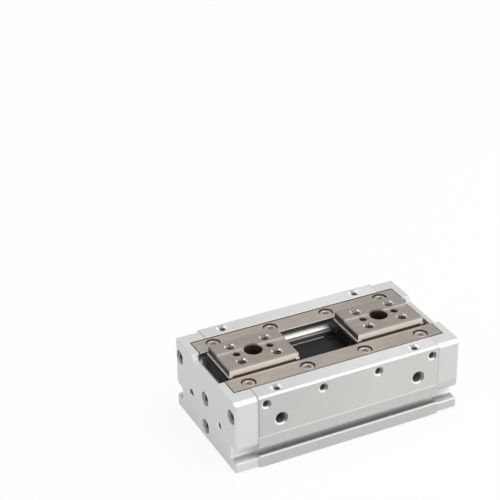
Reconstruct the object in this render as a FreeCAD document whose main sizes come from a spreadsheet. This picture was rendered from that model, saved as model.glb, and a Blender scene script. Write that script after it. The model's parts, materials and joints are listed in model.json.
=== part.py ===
import FreeCAD, Part
import Sketcher
import math
import os

# A low, wide-opening parallel air gripper. Millimetres, +Z up, X along the stroke.
# The origin is at the centre of the base.
# Two pistons lie side by side, a pinion between them keeps them in step, and each carries one finger.

SIZES = {
    # Body block
    "body_length": 75.0,
    "body_width": 52.4,
    "skirt_width": 52.8,
    "skirt_top": 13.6,
    "skirt_step": 0.3,
    "body_height": 30.6,
    "body_edge_width": 0.7,
    "body_edge_height": 0.6,
    "small_edge": 0.15,
    "base_edge": 0.6,
    "base_relief_length": 2.8,
    # End caps
    "cap_length": 9.25,
    "cap_width": 51.6,
    "cap_top_gap": 0.2,
    "cap_base_gap": 0.5,
    "cap_edge_width": 1.45,
    "cap_edge_height": 1.3,
    "cap_corner_radius": 0.75,
    "cap_base_edge": 0.4,
    "lip_thickness": 2.0,
    "notch_depth": 2.0,
    "notch_half_top": 11.0,
    "notch_half_bottom": 9.2,
    # Guide rails and the channel between them
    "channel_depth": 5.6,
    "rail_height": 5.4,
    "rail_length": 86.8,
    "rail_inner": 10.5,
    "rail_outer": 18.6,
    "rail_gap": 0.4,
    "rail_edge": 0.15,
    "rail_screw_pitch": 24.0,
    "rail_screw_y": 15.1,
    "cover_half_width": 10.3,
    "cover_thickness": 0.9,
    "cover_fit": 0.05,
    "cover_pad_half": 7.5,
    "cover_step": 0.4,
    "cover_edge": 0.15,
    "cover_screw_x": 33.0,
    "cover_screw_y": 6.0,
    # Raceways and rollers
    "vee_rise": 2.0,
    "vee_half": 1.0,
    "roller_radius": 1.17,
    "roller_length": 2.25,
    "roller_pitch": 2.45,
    "roller_count": 11,
    # Fingers
    "finger_x": 26.65,
    "finger_half_length": 14.1,
    "finger_half_width": 9.0,
    "finger_clearance": 0.3,
    "finger_height": 7.8,
    "finger_step": 0.5,
    "finger_step_y": 2.0,
    "finger_edge": 0.2,
    "finger_end_edge": 0.5,
    "finger_hole_radius": 3.55,
    "finger_thread_x": 7.2,
    "finger_thread_y": 5.1,
    "finger_thread_core": 1.65,
    "finger_thread_depth": 4.5,
    "finger_pin_x": 6.8,
    "finger_pin_radius": 1.5,
    # Plates at the finger ends
    "shim_thickness": 0.4,
    "shim_height": 5.2,
    "plate_half_width": 8.9,
    "stopper_thickness": 1.0,
    "stopper_height": 4.55,
    "stopper_lift": 0.1,
    "ear_reach": 10.9,
    "ear_half_root": 0.8,
    "ear_half_tip": 0.2,
    "tab_length": 1.2,
    "tab_thickness": 0.3,
    "tab_height": 1.6,
    "stopper_screw_y": 5.4,
    "stopper_screw_rise": 2.6,
    # Pistons
    "bore_radius": 8.0,
    "bore_y": 12.0,
    "bore_z": 13.0,
    "piston_clearance": 0.1,
    "piston_waist": 7.8,
    "piston_length": 62.0,
    "piston_end_gap": 1.0,
    "head_length": 6.7,
    "seal_land": 1.2,
    "seal_groove": 2.2,
    "seal_radius": 7.96,
    "seal_root": 6.2,
    "ring_land": 4.2,
    "ring_groove": 1.6,
    "ring_root": 6.6,
    "groove_play": 0.05,
    "stroke": 11.0,
    "bumper_radius": 4.0,
    "gasket_inner": 8.3,
    "gasket_outer": 9.2,
    "gasket_depth": 0.8,
    # Joints between pistons and fingers
    "joint_x": 20.0,
    "joint_y": 6.2,
    "joint_length": 3.4,
    "joint_width": 2.6,
    "joint_dip": 0.2,
    "joint_grip": 2.7,
    "joint_play": 0.05,
    "slot_play": 0.3,
    # Rack and pinion
    "tooth_module": 0.8,
    "tooth_count": 14,
    "tooth_backlash": 0.05,
    "pinion_width": 7.0,
    "pinion_hub_radius": 4.0,
    "pinion_hub_height": 3.3,
    "pin_radius": 1.5,
    "pin_play": 0.04,
    "pin_bottom": 2.6,
    "pocket_play": 0.5,
    "rack_teeth": 7,
    "pinion_cover_radius": 7.6,
    "pinion_cover_gap": 0.8,
    "pinion_cover_thickness": 1.5,
    "clip_radius": 8.15,
    "clip_width": 1.1,
    "clip_thickness": 0.7,
    # Sensor grooves
    "groove_z": 7.15,
    "groove_mouth": 3.4,
    "groove_neck": 1.4,
    "groove_radius": 2.3,
    "cap_groove_bottom": 4.65,
    "cap_groove_top": 9.6,
    "cap_groove_depth": 4.6,
    "cap_groove_round": 1.2,
    "cap_groove_lip": 1.8,
    # Threads, ports and screws
    "side_row_pitch": 23.0,
    "side_row_drop": 3.6,
    "small_thread_core": 1.25,
    "small_thread_depth": 5.0,
    "thread_lead_depth": 0.45,
    "finger_thread_lead": 0.45,
    "side_thread_lead": 0.7,
    "top_thread_lead": 1.0,
    "port_lead": 0.65,
    "top_thread_x": 28.7,
    "top_thread_y": 22.6,
    "top_thread_depth": 4.5,
    "port_x": 28.6,
    "port_z": 19.2,
    "port_radius": 2.1,
    "port_depth": 5.0,
    "port_passage": 0.8,
    "base_thread_x": 28.0,
    "base_thread_y": 16.0,
    "base_dowel_x": 24.0,
    "base_dowel_depth": 3.0,
    "cap_screw_y": 22.2,
    "cap_screw_z": 23.05,
    "web_screw_high": 17.5,
    "web_screw_low": 5.3,
    "cap_screw_head": 2.7,
    "cap_screw_head_height": 3.0,
    "cap_screw_radius": 1.5,
    "cap_screw_length": 10.25,
    "cap_counterbore": 2.9,
    "cap_counterbore_depth": 4.5,
    "rail_screw_head": 2.6,
    "rail_screw_head_height": 2.5,
    "rail_screw_radius": 1.5,
    "rail_screw_length": 5.5,
    "rail_counterbore": 2.85,
    "rail_counterbore_depth": 2.9,
    "stopper_screw_head": 1.2,
    "stopper_screw_head_height": 0.6,
    "stopper_screw_radius": 0.8,
    "stopper_screw_length": 2.4,
    "cover_screw_head": 1.7,
    "cover_screw_radius": 1.0,
    "cover_screw_length": 3.3,
    "screw_fit": 0.02,
}

TURNS = {
    "+z": FreeCAD.Rotation(),
    "-z": FreeCAD.Rotation(FreeCAD.Vector(1, 0, 0), 180),
    "+x": FreeCAD.Rotation(FreeCAD.Vector(0, 1, 0), 90),
    "-x": FreeCAD.Rotation(FreeCAD.Vector(0, 1, 0), -90),
    "+y": FreeCAD.Rotation(FreeCAD.Vector(1, 0, 0), -90),
    "-y": FreeCAD.Rotation(FreeCAD.Vector(1, 0, 0), 90),
}
SECTION_YZ = FreeCAD.Rotation(FreeCAD.Vector(1, 1, 1), 120)
SECTION_XZ = FreeCAD.Rotation(FreeCAD.Vector(1, 0, 0), 90)
PRESSURE_ANGLE = math.radians(20)

doc = FreeCAD.newDocument("air_gripper")
nodes = []


class Size:
    """A length with its value and the formula that binds it to the sheet."""

    def __init__(self, value, formula):
        self.value = value
        self.formula = formula

    def joined(self, sign, value, other, swapped=False):
        first, second = (other, self) if swapped else (self, other)
        return Size(value, "(%s %s %s)" % (formula_of(first), sign, formula_of(second)))

    def __add__(self, other):
        return self.joined("+", self.value + value_of(other), other)

    def __radd__(self, other):
        return self.joined("+", value_of(other) + self.value, other, True)

    def __sub__(self, other):
        return self.joined("-", self.value - value_of(other), other)

    def __rsub__(self, other):
        return self.joined("-", value_of(other) - self.value, other, True)

    def __mul__(self, other):
        return self.joined("*", self.value * value_of(other), other)

    def __rmul__(self, other):
        return self.joined("*", value_of(other) * self.value, other, True)

    def __truediv__(self, other):
        return self.joined("/", self.value / value_of(other), other)

    def __neg__(self):
        return Size(-self.value, "(0 - %s)" % self.formula)


def value_of(item):
    return item.value if isinstance(item, Size) else float(item)


def formula_of(item):
    return item.formula if isinstance(item, Size) else "(%.9g)" % item


def make_sheet():
    """The driving dimensions, one alias to a row."""
    sheet = doc.addObject("Spreadsheet::Sheet", "Sizes")
    for row, (name, value) in enumerate(SIZES.items(), start=1):
        sheet.set("A%d" % row, name)
        sheet.set("B%d" % row, repr(value))
        sheet.setAlias("B%d" % row, name)
    doc.recompute()
    return {name: Size(float(value), "Sizes.%s" % name) for name, value in SIZES.items()}


S = make_sheet()


# Basic shapes, each bound to the sheet

def bind(item, name, size):
    item.setExpression(name, formula_of(size))


def place(item, x, y, z, turn=None):
    item.Placement = FreeCAD.Placement(
        FreeCAD.Vector(value_of(x), value_of(y), value_of(z)), turn or FreeCAD.Rotation())
    bind(item, "Placement.Base.x", x)
    bind(item, "Placement.Base.y", y)
    bind(item, "Placement.Base.z", z)
    return item


def block(name, x0, x1, y0, y1, z0, z1):
    item = doc.addObject("Part::Box", name)
    bind(item, "Length", x1 - x0)
    bind(item, "Width", y1 - y0)
    bind(item, "Height", z1 - z0)
    return place(item, x0, y0, z0)


def rod(name, radius, length, direction, x, y, z):
    item = doc.addObject("Part::Cylinder", name)
    bind(item, "Radius", radius)
    bind(item, "Height", length)
    return place(item, x, y, z, TURNS[direction])


def cone(name, radius_start, radius_end, length, direction, x, y, z):
    item = doc.addObject("Part::Cone", name)
    bind(item, "Radius1", radius_start)
    bind(item, "Radius2", radius_end)
    bind(item, "Height", length)
    return place(item, x, y, z, TURNS[direction])


def outline(name, points, turn, x=0, y=0, z=0):
    """A closed outline of straight edges; no point is left of the sketch's origin or below it."""
    sketch = doc.addObject("Sketcher::SketchObject", name)
    count = len(points)
    spots = [FreeCAD.Vector(value_of(u), value_of(v), 0) for u, v in points]
    for i in range(count):
        sketch.addGeometry(Part.LineSegment(spots[i], spots[(i + 1) % count]), False)
    for i in range(count):
        sketch.addConstraint(Sketcher.Constraint("Coincident", i, 2, (i + 1) % count, 1))
    for i, (u, v) in enumerate(points):
        for size, kind, axis in ((u, "DistanceX", -2), (v, "DistanceY", -1)):
            if value_of(size) == 0:
                sketch.addConstraint(Sketcher.Constraint("PointOnObject", i, 1, axis))
                continue
            index = sketch.addConstraint(Sketcher.Constraint(kind, -1, 1, i, 1, value_of(size)))
            sketch.setExpression("Constraints[%d]" % index, formula_of(size))
    return place(sketch, x, y, z, turn)


def extruded(name, sketch, length, symmetric=False):
    item = doc.addObject("Part::Extrusion", name)
    item.Base = sketch
    item.DirMode = "Normal"
    item.Solid = True
    item.Symmetric = symmetric
    bind(item, "LengthFwd", length)
    return item


def mirrored(name, source, normal):
    item = doc.addObject("Part::Mirroring", name)
    item.Source = source
    item.Normal = FreeCAD.Vector(*normal)
    return item


def fused(name, items):
    item = doc.addObject("Part::MultiFuse", name)
    item.Shapes = items
    item.Refine = True
    return item


def cut(name, base, tools):
    item = doc.addObject("Part::Cut", name)
    item.Base = base
    item.Tool = tools[0] if len(tools) == 1 else fused(name + "_tools", tools)
    item.Refine = True
    return item


def group(name, items):
    item = doc.addObject("Part::Compound", name)
    item.Links = items
    return item


def both_sides(name, half):
    """A section drawn for the +Y half, completed by its mirror image."""
    return fused(name, [half, mirrored(name + "_mirror", half, (0, 1, 0))])


def edges_where(item, test):
    """Numbers of the straight edges whose middle point and direction pass a test."""
    doc.recompute()
    found = []
    for number, edge in enumerate(item.Shape.Edges, start=1):
        if edge.Length < 1e-6 or not isinstance(edge.Curve, Part.Line):
            continue
        middle = edge.valueAt((edge.FirstParameter + edge.LastParameter) / 2)
        if test(middle, edge.tangentAt(edge.FirstParameter)):
            found.append(number)
    return found


def edge_feature(kind, name, base, size, test):
    """A fillet or an equal chamfer on the chosen edges."""
    item = doc.addObject(kind, name)
    item.Base = base
    item.Edges = [(number, value_of(size), value_of(size)) for number in edges_where(base, test)]
    return item


def near(first, second):
    return abs(first - value_of(second)) < 0.01


def node(name, item):
    """Names a finished sub-part, which is written to a file of that name."""
    item.Label = name
    nodes.append(item)
    return item


# Holes and screws

def tapped(name, core, lead, depth, direction, x, y, z):
    """A tapped hole at its core size; its countersink widens the mouth by the lead all round."""
    return [
        rod(name, core, depth, direction, x, y, z),
        cone(name + "_lead", core + lead, core, S["thread_lead_depth"], direction, x, y, z),
    ]


def socket_screw(name, head, head_height, radius, length, direction, x, y, z):
    """A socket head screw; x, y, z is under the middle of its head, direction runs along the shank."""
    back = {"+": "-", "-": "+"}[direction[0]] + direction[1]
    shank = rod(name + "_shank", radius, length, direction, x, y, z)
    top = rod(name + "_head", head, head_height, back, x, y, z)
    sign = 1 if back[0] == "+" else -1
    lift = {axis: (head_height * 0.5 * sign if axis == back[1] else 0) for axis in "xyz"}
    socket = doc.addObject("Part::Prism", name + "_socket")
    socket.Polygon = 6
    bind(socket, "Circumradius", head * 0.5)
    bind(socket, "Height", head_height)
    place(socket, x + lift["x"], y + lift["y"], z + lift["z"], TURNS[back])
    return cut(name, fused(name + "_blank", [shank, top]), [socket])


def bored_screw_spots():
    """Places of the four cap screws in the end face: y, z."""
    return [
        (-S["cap_screw_y"], S["cap_screw_z"]),
        (S["cap_screw_y"], S["cap_screw_z"]),
        (Size(0.0, "0"), S["web_screw_high"]),
        (Size(0.0, "0"), S["web_screw_low"]),
    ]


def rail_screw_xs():
    return [S["rail_screw_pitch"] * (i - 1.5) for i in range(4)]


# Sizes worked out once for several pieces

half_body = S["body_length"] / 2
half_total = half_body + S["cap_length"]
cap_top = S["body_height"] - S["cap_top_gap"]
side_row_z = S["body_height"] - S["side_row_drop"]
rail_seat = S["body_height"] - S["channel_depth"]
rail_top = rail_seat + S["rail_height"]
vee_z = rail_seat + S["vee_rise"]
rail_recess = S["rail_outer"] + S["rail_gap"]
cover_recess = S["cover_half_width"] + S["cover_fit"]
channel_floor = rail_seat - S["cover_thickness"]
finger_bottom = rail_seat + S["finger_clearance"]
finger_front_top = finger_bottom + S["finger_height"]
finger_back_top = finger_front_top + S["finger_step"]
stopper_bottom = finger_bottom + S["stopper_lift"]
shim_top = finger_bottom + S["shim_height"]
stopper_screw_z = rail_seat + S["stopper_screw_rise"]
joint_bottom = S["bore_z"] - S["joint_dip"]
joint_top = finger_bottom + S["joint_grip"]
head_radius = S["bore_radius"] - S["piston_clearance"]
pitch_radius = S["tooth_module"] * S["tooth_count"] / 2
rack_tip = pitch_radius - S["tooth_module"]
rack_root = pitch_radius + S["tooth_module"] * 1.25
pinion_bottom = S["bore_z"] - S["pinion_width"] / 2
pinion_top = S["bore_z"] + S["pinion_width"] / 2
cover_seat_radius = S["pinion_cover_radius"] + S["cover_fit"]
pinion_cover_bottom = pinion_top + S["pinion_hub_height"] + S["pinion_cover_gap"]
pinion_cover_top = pinion_cover_bottom + S["pinion_cover_thickness"]
slot_start = S["joint_x"] + S["joint_length"] / 2 + S["slot_play"]
slot_end = S["joint_x"] - S["stroke"] - S["joint_length"] / 2 - S["slot_play"]
slot_half = S["joint_width"] / 2 + S["slot_play"]
piston_far = half_body - S["piston_end_gap"]
bumper_face = piston_far + S["piston_clearance"]
plate_start = S["finger_half_length"] + S["shim_thickness"]
over = S["body_edge_width"]


def body_section():
    """Half of the body's extruded section, from the middle to the +Y side."""
    skirt = S["skirt_width"] / 2
    side = S["body_width"] / 2
    top = S["body_height"]
    edge = S["small_edge"]
    return [
        (0, 0),
        (skirt - S["base_edge"], 0),
        (skirt, S["base_edge"]),
        (skirt, S["skirt_top"] - S["skirt_step"]),
        (side, S["skirt_top"]),
        (side, top - S["body_edge_height"]),
        (side - S["body_edge_width"], top),
        (rail_recess + edge, top),
        (rail_recess, top - edge),
        (rail_recess, rail_seat),
        (cover_recess, rail_seat),
        (cover_recess, channel_floor),
        (0, channel_floor),
    ]


def sensor_groove(name, sign):
    """The round-bottomed slot for a position sensor, open to the side through a narrower mouth."""
    wall = S["skirt_width"] / 2 * sign
    axis = wall - (S["groove_neck"] + S["groove_radius"] * 0.9) * sign
    low = S["groove_z"] - S["groove_mouth"] / 2
    high = S["groove_z"] + S["groove_mouth"] / 2
    first, second = (axis, wall + over) if sign > 0 else (wall - over, axis)
    return [
        rod(name, S["groove_radius"], S["body_length"], "+x", -half_body, axis, S["groove_z"]),
        block(name + "_mouth", -half_body, half_body, first, second, low, high),
    ]


def joint_slot(name, sign):
    """The slot through the channel floor in which a joint travels; sign is the side in X and in Y."""
    first, second = sorted((slot_start * sign, slot_end * sign), key=value_of)
    middle = S["joint_y"] * sign
    return block(name, first, second, middle - slot_half, middle + slot_half,
                 S["bore_z"], rail_seat + over)


def pinion_room():
    """The stepped round room for the pinion, its cover, the clip and the foot of its pin."""
    pocket = rack_tip + S["tooth_module"] * 2 + S["pocket_play"]
    low = pinion_bottom - S["pocket_play"]
    return [
        rod("pinion_pocket", pocket, rail_seat - low, "+z", 0, 0, low),
        rod("cover_seat", cover_seat_radius, rail_seat - pinion_cover_bottom, "+z", 0, 0,
            pinion_cover_bottom),
        rod("clip_groove", S["clip_radius"] + S["cover_fit"],
            S["clip_thickness"] + S["cover_fit"] * 2, "+z", 0, 0, pinion_cover_top),
        rod("pin_foot", S["pin_radius"] + S["screw_fit"], low - S["pin_bottom"], "+z", 0, 0,
            S["pin_bottom"]),
    ]


def body_threads():
    """Tapped holes of the body: side rows, top strips, base, and those for the gripper's own screws."""
    tools = []
    side = S["body_width"] / 2
    for face, sign in (("front", -1), ("back", 1)):
        inward = "+y" if sign < 0 else "-y"
        for i in range(4):
            x = S["side_row_pitch"] * (i - 1.5)
            tools += tapped("side_%s_%d" % (face, i), S["small_thread_core"], S["side_thread_lead"],
                            S["small_thread_depth"], inward, x, side * sign, side_row_z)
            tools.append(rod("rail_thread_%s_%d" % (face, i), S["rail_screw_radius"] + S["screw_fit"],
                             S["rail_screw_length"] - (S["rail_height"] - S["rail_counterbore_depth"])
                             + S["slot_play"], "-z",
                             rail_screw_xs()[i], S["rail_screw_y"] * sign, rail_seat))
        for end, way in (("left", -1), ("right", 1)):
            label = "%s_%s" % (face, end)
            tools += tapped("top_" + label, S["small_thread_core"], S["top_thread_lead"],
                            S["top_thread_depth"], "-z", S["top_thread_x"] * way,
                            S["top_thread_y"] * sign, S["body_height"])
            tools += tapped("base_" + label, S["finger_thread_core"], S["finger_thread_lead"],
                            S["finger_thread_depth"], "+z", S["base_thread_x"] * way,
                            S["base_thread_y"] * sign, Size(0.0, "0"))
            tools.append(rod("cover_thread_" + label, S["cover_screw_radius"] + S["screw_fit"],
                             S["cover_screw_length"], "-z", S["cover_screw_x"] * way,
                             S["cover_screw_y"] * sign, channel_floor))
    reach = S["cap_screw_length"] - (S["cap_length"] - S["cap_counterbore_depth"]) + S["slot_play"]
    for end, way in (("left", -1), ("right", 1)):
        inward = "+x" if way < 0 else "-x"
        for i, (y, z) in enumerate(bored_screw_spots()):
            tools.append(rod("cap_thread_%s_%d" % (end, i), S["cap_screw_radius"] + S["screw_fit"],
                             reach, inward, half_body * way, y, z))
        tools.append(rod("base_dowel_" + end, S["pin_radius"], S["base_dowel_depth"], "+z",
                         S["base_dowel_x"] * way, 0, 0))
    return tools


def air_ports():
    """The two tapped ports in the front face, each with the start of its passage."""
    tools = []
    side = -S["body_width"] / 2
    for end, way in (("left", -1), ("right", 1)):
        x = S["port_x"] * way
        tools += tapped("port_" + end, S["port_radius"], S["port_lead"], S["port_depth"], "+y",
                        x, side, S["port_z"])
        tools.append(rod("passage_" + end, S["port_passage"], S["port_depth"] + S["port_passage"], "+y",
                         x, side, S["port_z"]))
    return tools


def make_body():
    half = extruded("body_half", outline("body_half_section", body_section(), SECTION_YZ),
                    S["body_length"], True)
    relief = extruded("base_relief", outline("base_relief_section", [
        (half_body - S["base_relief_length"], 0),
        (half_body, 0),
        (half_body, S["cap_base_gap"]),
    ], SECTION_XZ), S["skirt_width"], True)
    tools = [relief, mirrored("base_relief_left", relief, (1, 0, 0))]
    for face, sign in (("front", -1), ("back", 1)):
        tools += sensor_groove("sensor_groove_" + face, sign)
        tools.append(rod("bore_" + face, S["bore_radius"], S["body_length"], "+x", -half_body,
                         S["bore_y"] * sign, S["bore_z"]))
        tools.append(joint_slot("joint_slot_" + face, sign))
    tools += pinion_room() + body_threads() + air_ports()
    node("body", cut("body_solid", both_sides("body_block", half), tools))


# End caps

def cap_section():
    side = S["cap_width"] / 2
    base = S["cap_base_gap"]
    return [
        (0, base),
        (side - S["cap_base_edge"], base),
        (side, base + S["cap_base_edge"]),
        (side, cap_top - S["cap_edge_height"]),
        (side - S["cap_edge_width"], cap_top),
        (0, cap_top),
    ]


def cap_groove(face, sign):
    """The wider sensor slot in a cap, rounded at its inner corners."""
    wall = S["cap_width"] / 2 * sign
    inner = wall - S["cap_groove_depth"] * sign
    first, second = (inner, wall + over) if sign > 0 else (wall - over, inner)
    slot = block("cap_groove_" + face, half_body, half_total, first, second,
                 S["cap_groove_bottom"], S["cap_groove_top"])
    return edge_feature("Part::Fillet", "cap_groove_rounded_" + face, slot, S["cap_groove_round"],
                        lambda at, way: abs(way.x) > 0.9 and near(at.y, inner))


def end_notch():
    """The notch through the lip at the end of the channel, narrower at its floor."""
    depth = S["notch_depth"] + S["cap_edge_height"]
    widen = (S["notch_half_top"] - S["notch_half_bottom"]) / S["notch_depth"] * depth
    notch = doc.addObject("Part::Wedge", "end_notch")
    for name, size in (
        ("Xmin", 0), ("X2min", 0), ("Xmax", S["cap_length"]), ("X2max", S["cap_length"]), ("Ymin", 0),
        ("Ymax", depth), ("Zmin", -S["notch_half_bottom"]), ("Zmax", S["notch_half_bottom"]),
        ("Z2min", -(S["notch_half_bottom"] + widen)), ("Z2max", S["notch_half_bottom"] + widen),
    ):
        bind(notch, name, size)
    return place(notch, half_body, 0, cap_top - S["notch_depth"], SECTION_XZ)


def make_caps():
    """The right cap, and the left one as its mirror image."""
    section = outline("cap_half_section", cap_section(), SECTION_YZ, half_body)
    blank = both_sides("cap_block", extruded("cap_half", section, S["cap_length"]))
    above = S["body_height"] + over
    pocket_half = S["rail_inner"] + S["cover_fit"] * 2
    slotted = cut("cap_slotted", blank, [cap_groove("front", -1), cap_groove("back", 1)])
    side = S["cap_width"] / 2
    lipped = edge_feature("Part::Fillet", "cap_lip_rounded", slotted, S["cap_groove_lip"],
                          lambda at, way: abs(way.x) > 0.9 and near(abs(at.y), side)
                          and near(at.z, S["cap_groove_top"]))
    cornered = edge_feature("Part::Chamfer", "cap_cornered", lipped, S["cap_corner_radius"],
                            lambda at, way: near(at.x, half_total) and near(abs(at.y), side))
    tools = [
        block("channel_pocket", half_body, half_total - S["lip_thickness"], -pocket_half, pocket_half,
              rail_seat, above),
        block("rail_pocket", half_body, S["rail_length"] / 2 + S["rail_gap"], -rail_recess, rail_recess,
              rail_seat, above),
        end_notch(),
    ]
    bored = S["cap_counterbore_depth"]
    for i, (y, z) in enumerate(bored_screw_spots()):
        tools.append(rod("cap_hole_%d" % i, S["cap_screw_radius"] + S["slot_play"] / 3,
                         S["cap_length"], "+x", half_body, y, z))
        tools.append(rod("cap_counterbore_%d" % i, S["cap_counterbore"], bored, "-x", half_total, y, z))
    for face, sign in (("front", -1), ("back", 1)):
        y = S["bore_y"] * sign
        tools += tapped("end_thread_" + face, S["small_thread_core"], S["finger_thread_lead"],
                        S["small_thread_depth"], "-x", half_total, y, S["bore_z"])
        tools.append(rod("cap_recess_" + face, S["gasket_outer"] + S["cover_fit"],
                         S["gasket_depth"], "+x", half_body, y, S["bore_z"]))
    cap = node("end_cap_right", cut("cap_solid", cornered, tools))
    node("end_cap_left", mirrored("cap_solid_left", cap, (1, 0, 0)))


def make_cap_seals():
    """Gasket rings between caps and body, and the rubber bumpers that stop the pistons."""
    rings = []
    bumpers = []
    for face, sign in (("front", -1), ("back", 1)):
        y = S["bore_y"] * sign
        outer = rod("gasket_outer_" + face, S["gasket_outer"], S["gasket_depth"], "+x",
                    half_body, y, S["bore_z"])
        inner = rod("gasket_inner_" + face, S["gasket_inner"], S["gasket_depth"], "+x",
                    half_body, y, S["bore_z"])
        gasket = cut("gasket_" + face, outer, [inner])
        bumper = rod("bumper_" + face, S["bumper_radius"],
                     half_body + S["gasket_depth"] - bumper_face, "+x", bumper_face, y, S["bore_z"])
        rings += [gasket, mirrored("gasket_left_" + face, gasket, (1, 0, 0))]
        bumpers += [bumper, mirrored("bumper_left_" + face, bumper, (1, 0, 0))]
    node("cap_gaskets", group("gaskets", rings))
    node("piston_bumpers", group("bumpers", bumpers))


def make_cap_screws():
    right = []
    seat = half_total - S["cap_counterbore_depth"]
    for i, (y, z) in enumerate(bored_screw_spots()):
        right.append(socket_screw("cap_screw_%d" % i, S["cap_screw_head"], S["cap_screw_head_height"],
                                  S["cap_screw_radius"], S["cap_screw_length"], "-x", seat, y, z))
    left = [mirrored("cap_screw_left_%d" % i, screw, (1, 0, 0)) for i, screw in enumerate(right)]
    node("cap_screws", group("cap_screw_set", right + left))


# Guide rails, channel cover and their screws

def vee_cut(name, x, length, wall):
    """A square bar on its edge, centred on a wall, that cuts a raceway of ninety degrees into it."""
    bar = doc.addObject("Part::Box", name)
    bind(bar, "Length", length)
    bind(bar, "Width", S["vee_half"] * math.sqrt(2))
    bind(bar, "Height", S["vee_half"] * math.sqrt(2))
    return place(bar, x, wall, vee_z - S["vee_half"], FreeCAD.Rotation(FreeCAD.Vector(1, 0, 0), 45))


def make_rails():
    edge = S["rail_edge"]
    section = outline("rail_section", [
        (S["rail_inner"], rail_seat),
        (S["rail_outer"], rail_seat),
        (S["rail_outer"], rail_top - edge),
        (S["rail_outer"] - edge, rail_top),
        (S["rail_inner"] + edge, rail_top),
        (S["rail_inner"], rail_top - edge),
    ], SECTION_YZ)
    tools = [vee_cut("rail_vee", -S["rail_length"] / 2, S["rail_length"], S["rail_inner"])]
    for i, x in enumerate(rail_screw_xs()):
        tools.append(rod("rail_hole_%d" % i, S["rail_screw_radius"] + S["slot_play"] / 3,
                         S["rail_height"], "+z", x, S["rail_screw_y"], rail_seat))
        tools.append(rod("rail_counterbore_%d" % i, S["rail_counterbore"],
                         S["rail_counterbore_depth"], "-z", x, S["rail_screw_y"], rail_top))
    bar = extruded("rail_bar", section, S["rail_length"], True)
    rail = node("guide_rail_back", cut("rail_solid", bar, tools))
    node("guide_rail_front", mirrored("rail_solid_front", rail, (0, 1, 0)))


def make_rail_screws():
    back = [socket_screw("rail_screw_%d" % i, S["rail_screw_head"], S["rail_screw_head_height"],
                         S["rail_screw_radius"], S["rail_screw_length"], "-z",
                         x, S["rail_screw_y"], rail_top - S["rail_counterbore_depth"])
            for i, x in enumerate(rail_screw_xs())]
    front = [mirrored("rail_screw_front_%d" % i, screw, (0, 1, 0)) for i, screw in enumerate(back)]
    node("rail_screws", group("rail_screw_set", back + front))


def cover_section():
    """Half of the cover's section: a middle pad, and a lower strip from it to the rail."""
    low = rail_seat - S["cover_step"]
    edge = S["cover_edge"]
    return [
        (0, channel_floor),
        (S["cover_half_width"], channel_floor),
        (S["cover_half_width"], low),
        (S["cover_pad_half"], low),
        (S["cover_pad_half"], rail_seat - edge),
        (S["cover_pad_half"] - edge, rail_seat),
        (0, rail_seat),
    ]


def make_channel_cover():
    """The thin dark plate on the channel floor, slotted for the two joints."""
    half = extruded("cover_half", outline("cover_half_section", cover_section(), SECTION_YZ),
                    S["body_length"] - S["cover_fit"] * 2, True)
    plate = both_sides("cover_plate", half)
    tools = [
        joint_slot("cover_joint_slot_front", -1),
        joint_slot("cover_joint_slot_back", 1),
    ]
    screws = []
    for face, sign in (("front", -1), ("back", 1)):
        for end, way in (("left", -1), ("right", 1)):
            label = "%s_%s" % (face, end)
            x = S["cover_screw_x"] * way
            y = S["cover_screw_y"] * sign
            play = S["screw_fit"]
            tools.append(cone("cover_sink_" + label, S["cover_screw_head"] + play,
                              S["cover_screw_radius"] + play, S["cover_thickness"], "-z",
                              x, y, rail_seat))
            head = cone("cover_head_" + label, S["cover_screw_head"], S["cover_screw_radius"],
                        S["cover_thickness"], "-z", x, y, rail_seat)
            shank = rod("cover_shank_" + label, S["cover_screw_radius"],
                        S["cover_thickness"] + S["cover_screw_length"] - S["slot_play"], "-z",
                        x, y, rail_seat)
            slot = block("cover_drive_" + label, x - S["cover_screw_head"], x + S["cover_screw_head"],
                         y - S["slot_play"] / 2, y + S["slot_play"] / 2,
                         rail_seat - S["slot_play"], rail_seat + over)
            blank = fused("cover_blank_" + label, [head, shank])
            screws.append(cut("cover_screw_" + label, blank, [slot]))
    node("channel_cover", cut("cover_solid", plate, tools))
    node("cover_screws", group("cover_screw_set", screws))


# Rack, pinion and pistons

def involute(angle):
    return math.tan(angle) - angle


def tooth_flank(middle, side, base, start, tip, half_angle):
    """Points of one involute flank from the root side to the tip."""
    points = []
    for i in range(7):
        radius = start + (tip - start) * i / 6
        turn = half_angle + involute(PRESSURE_ANGLE) - involute(math.acos(min(1.0, base / radius)))
        angle = middle + side * turn
        points.append(FreeCAD.Vector(radius * math.cos(angle), radius * math.sin(angle), 0))
    return points


def curve(points):
    spline = Part.BSplineCurve()
    spline.interpolate(points)
    return spline.toShape()


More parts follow.
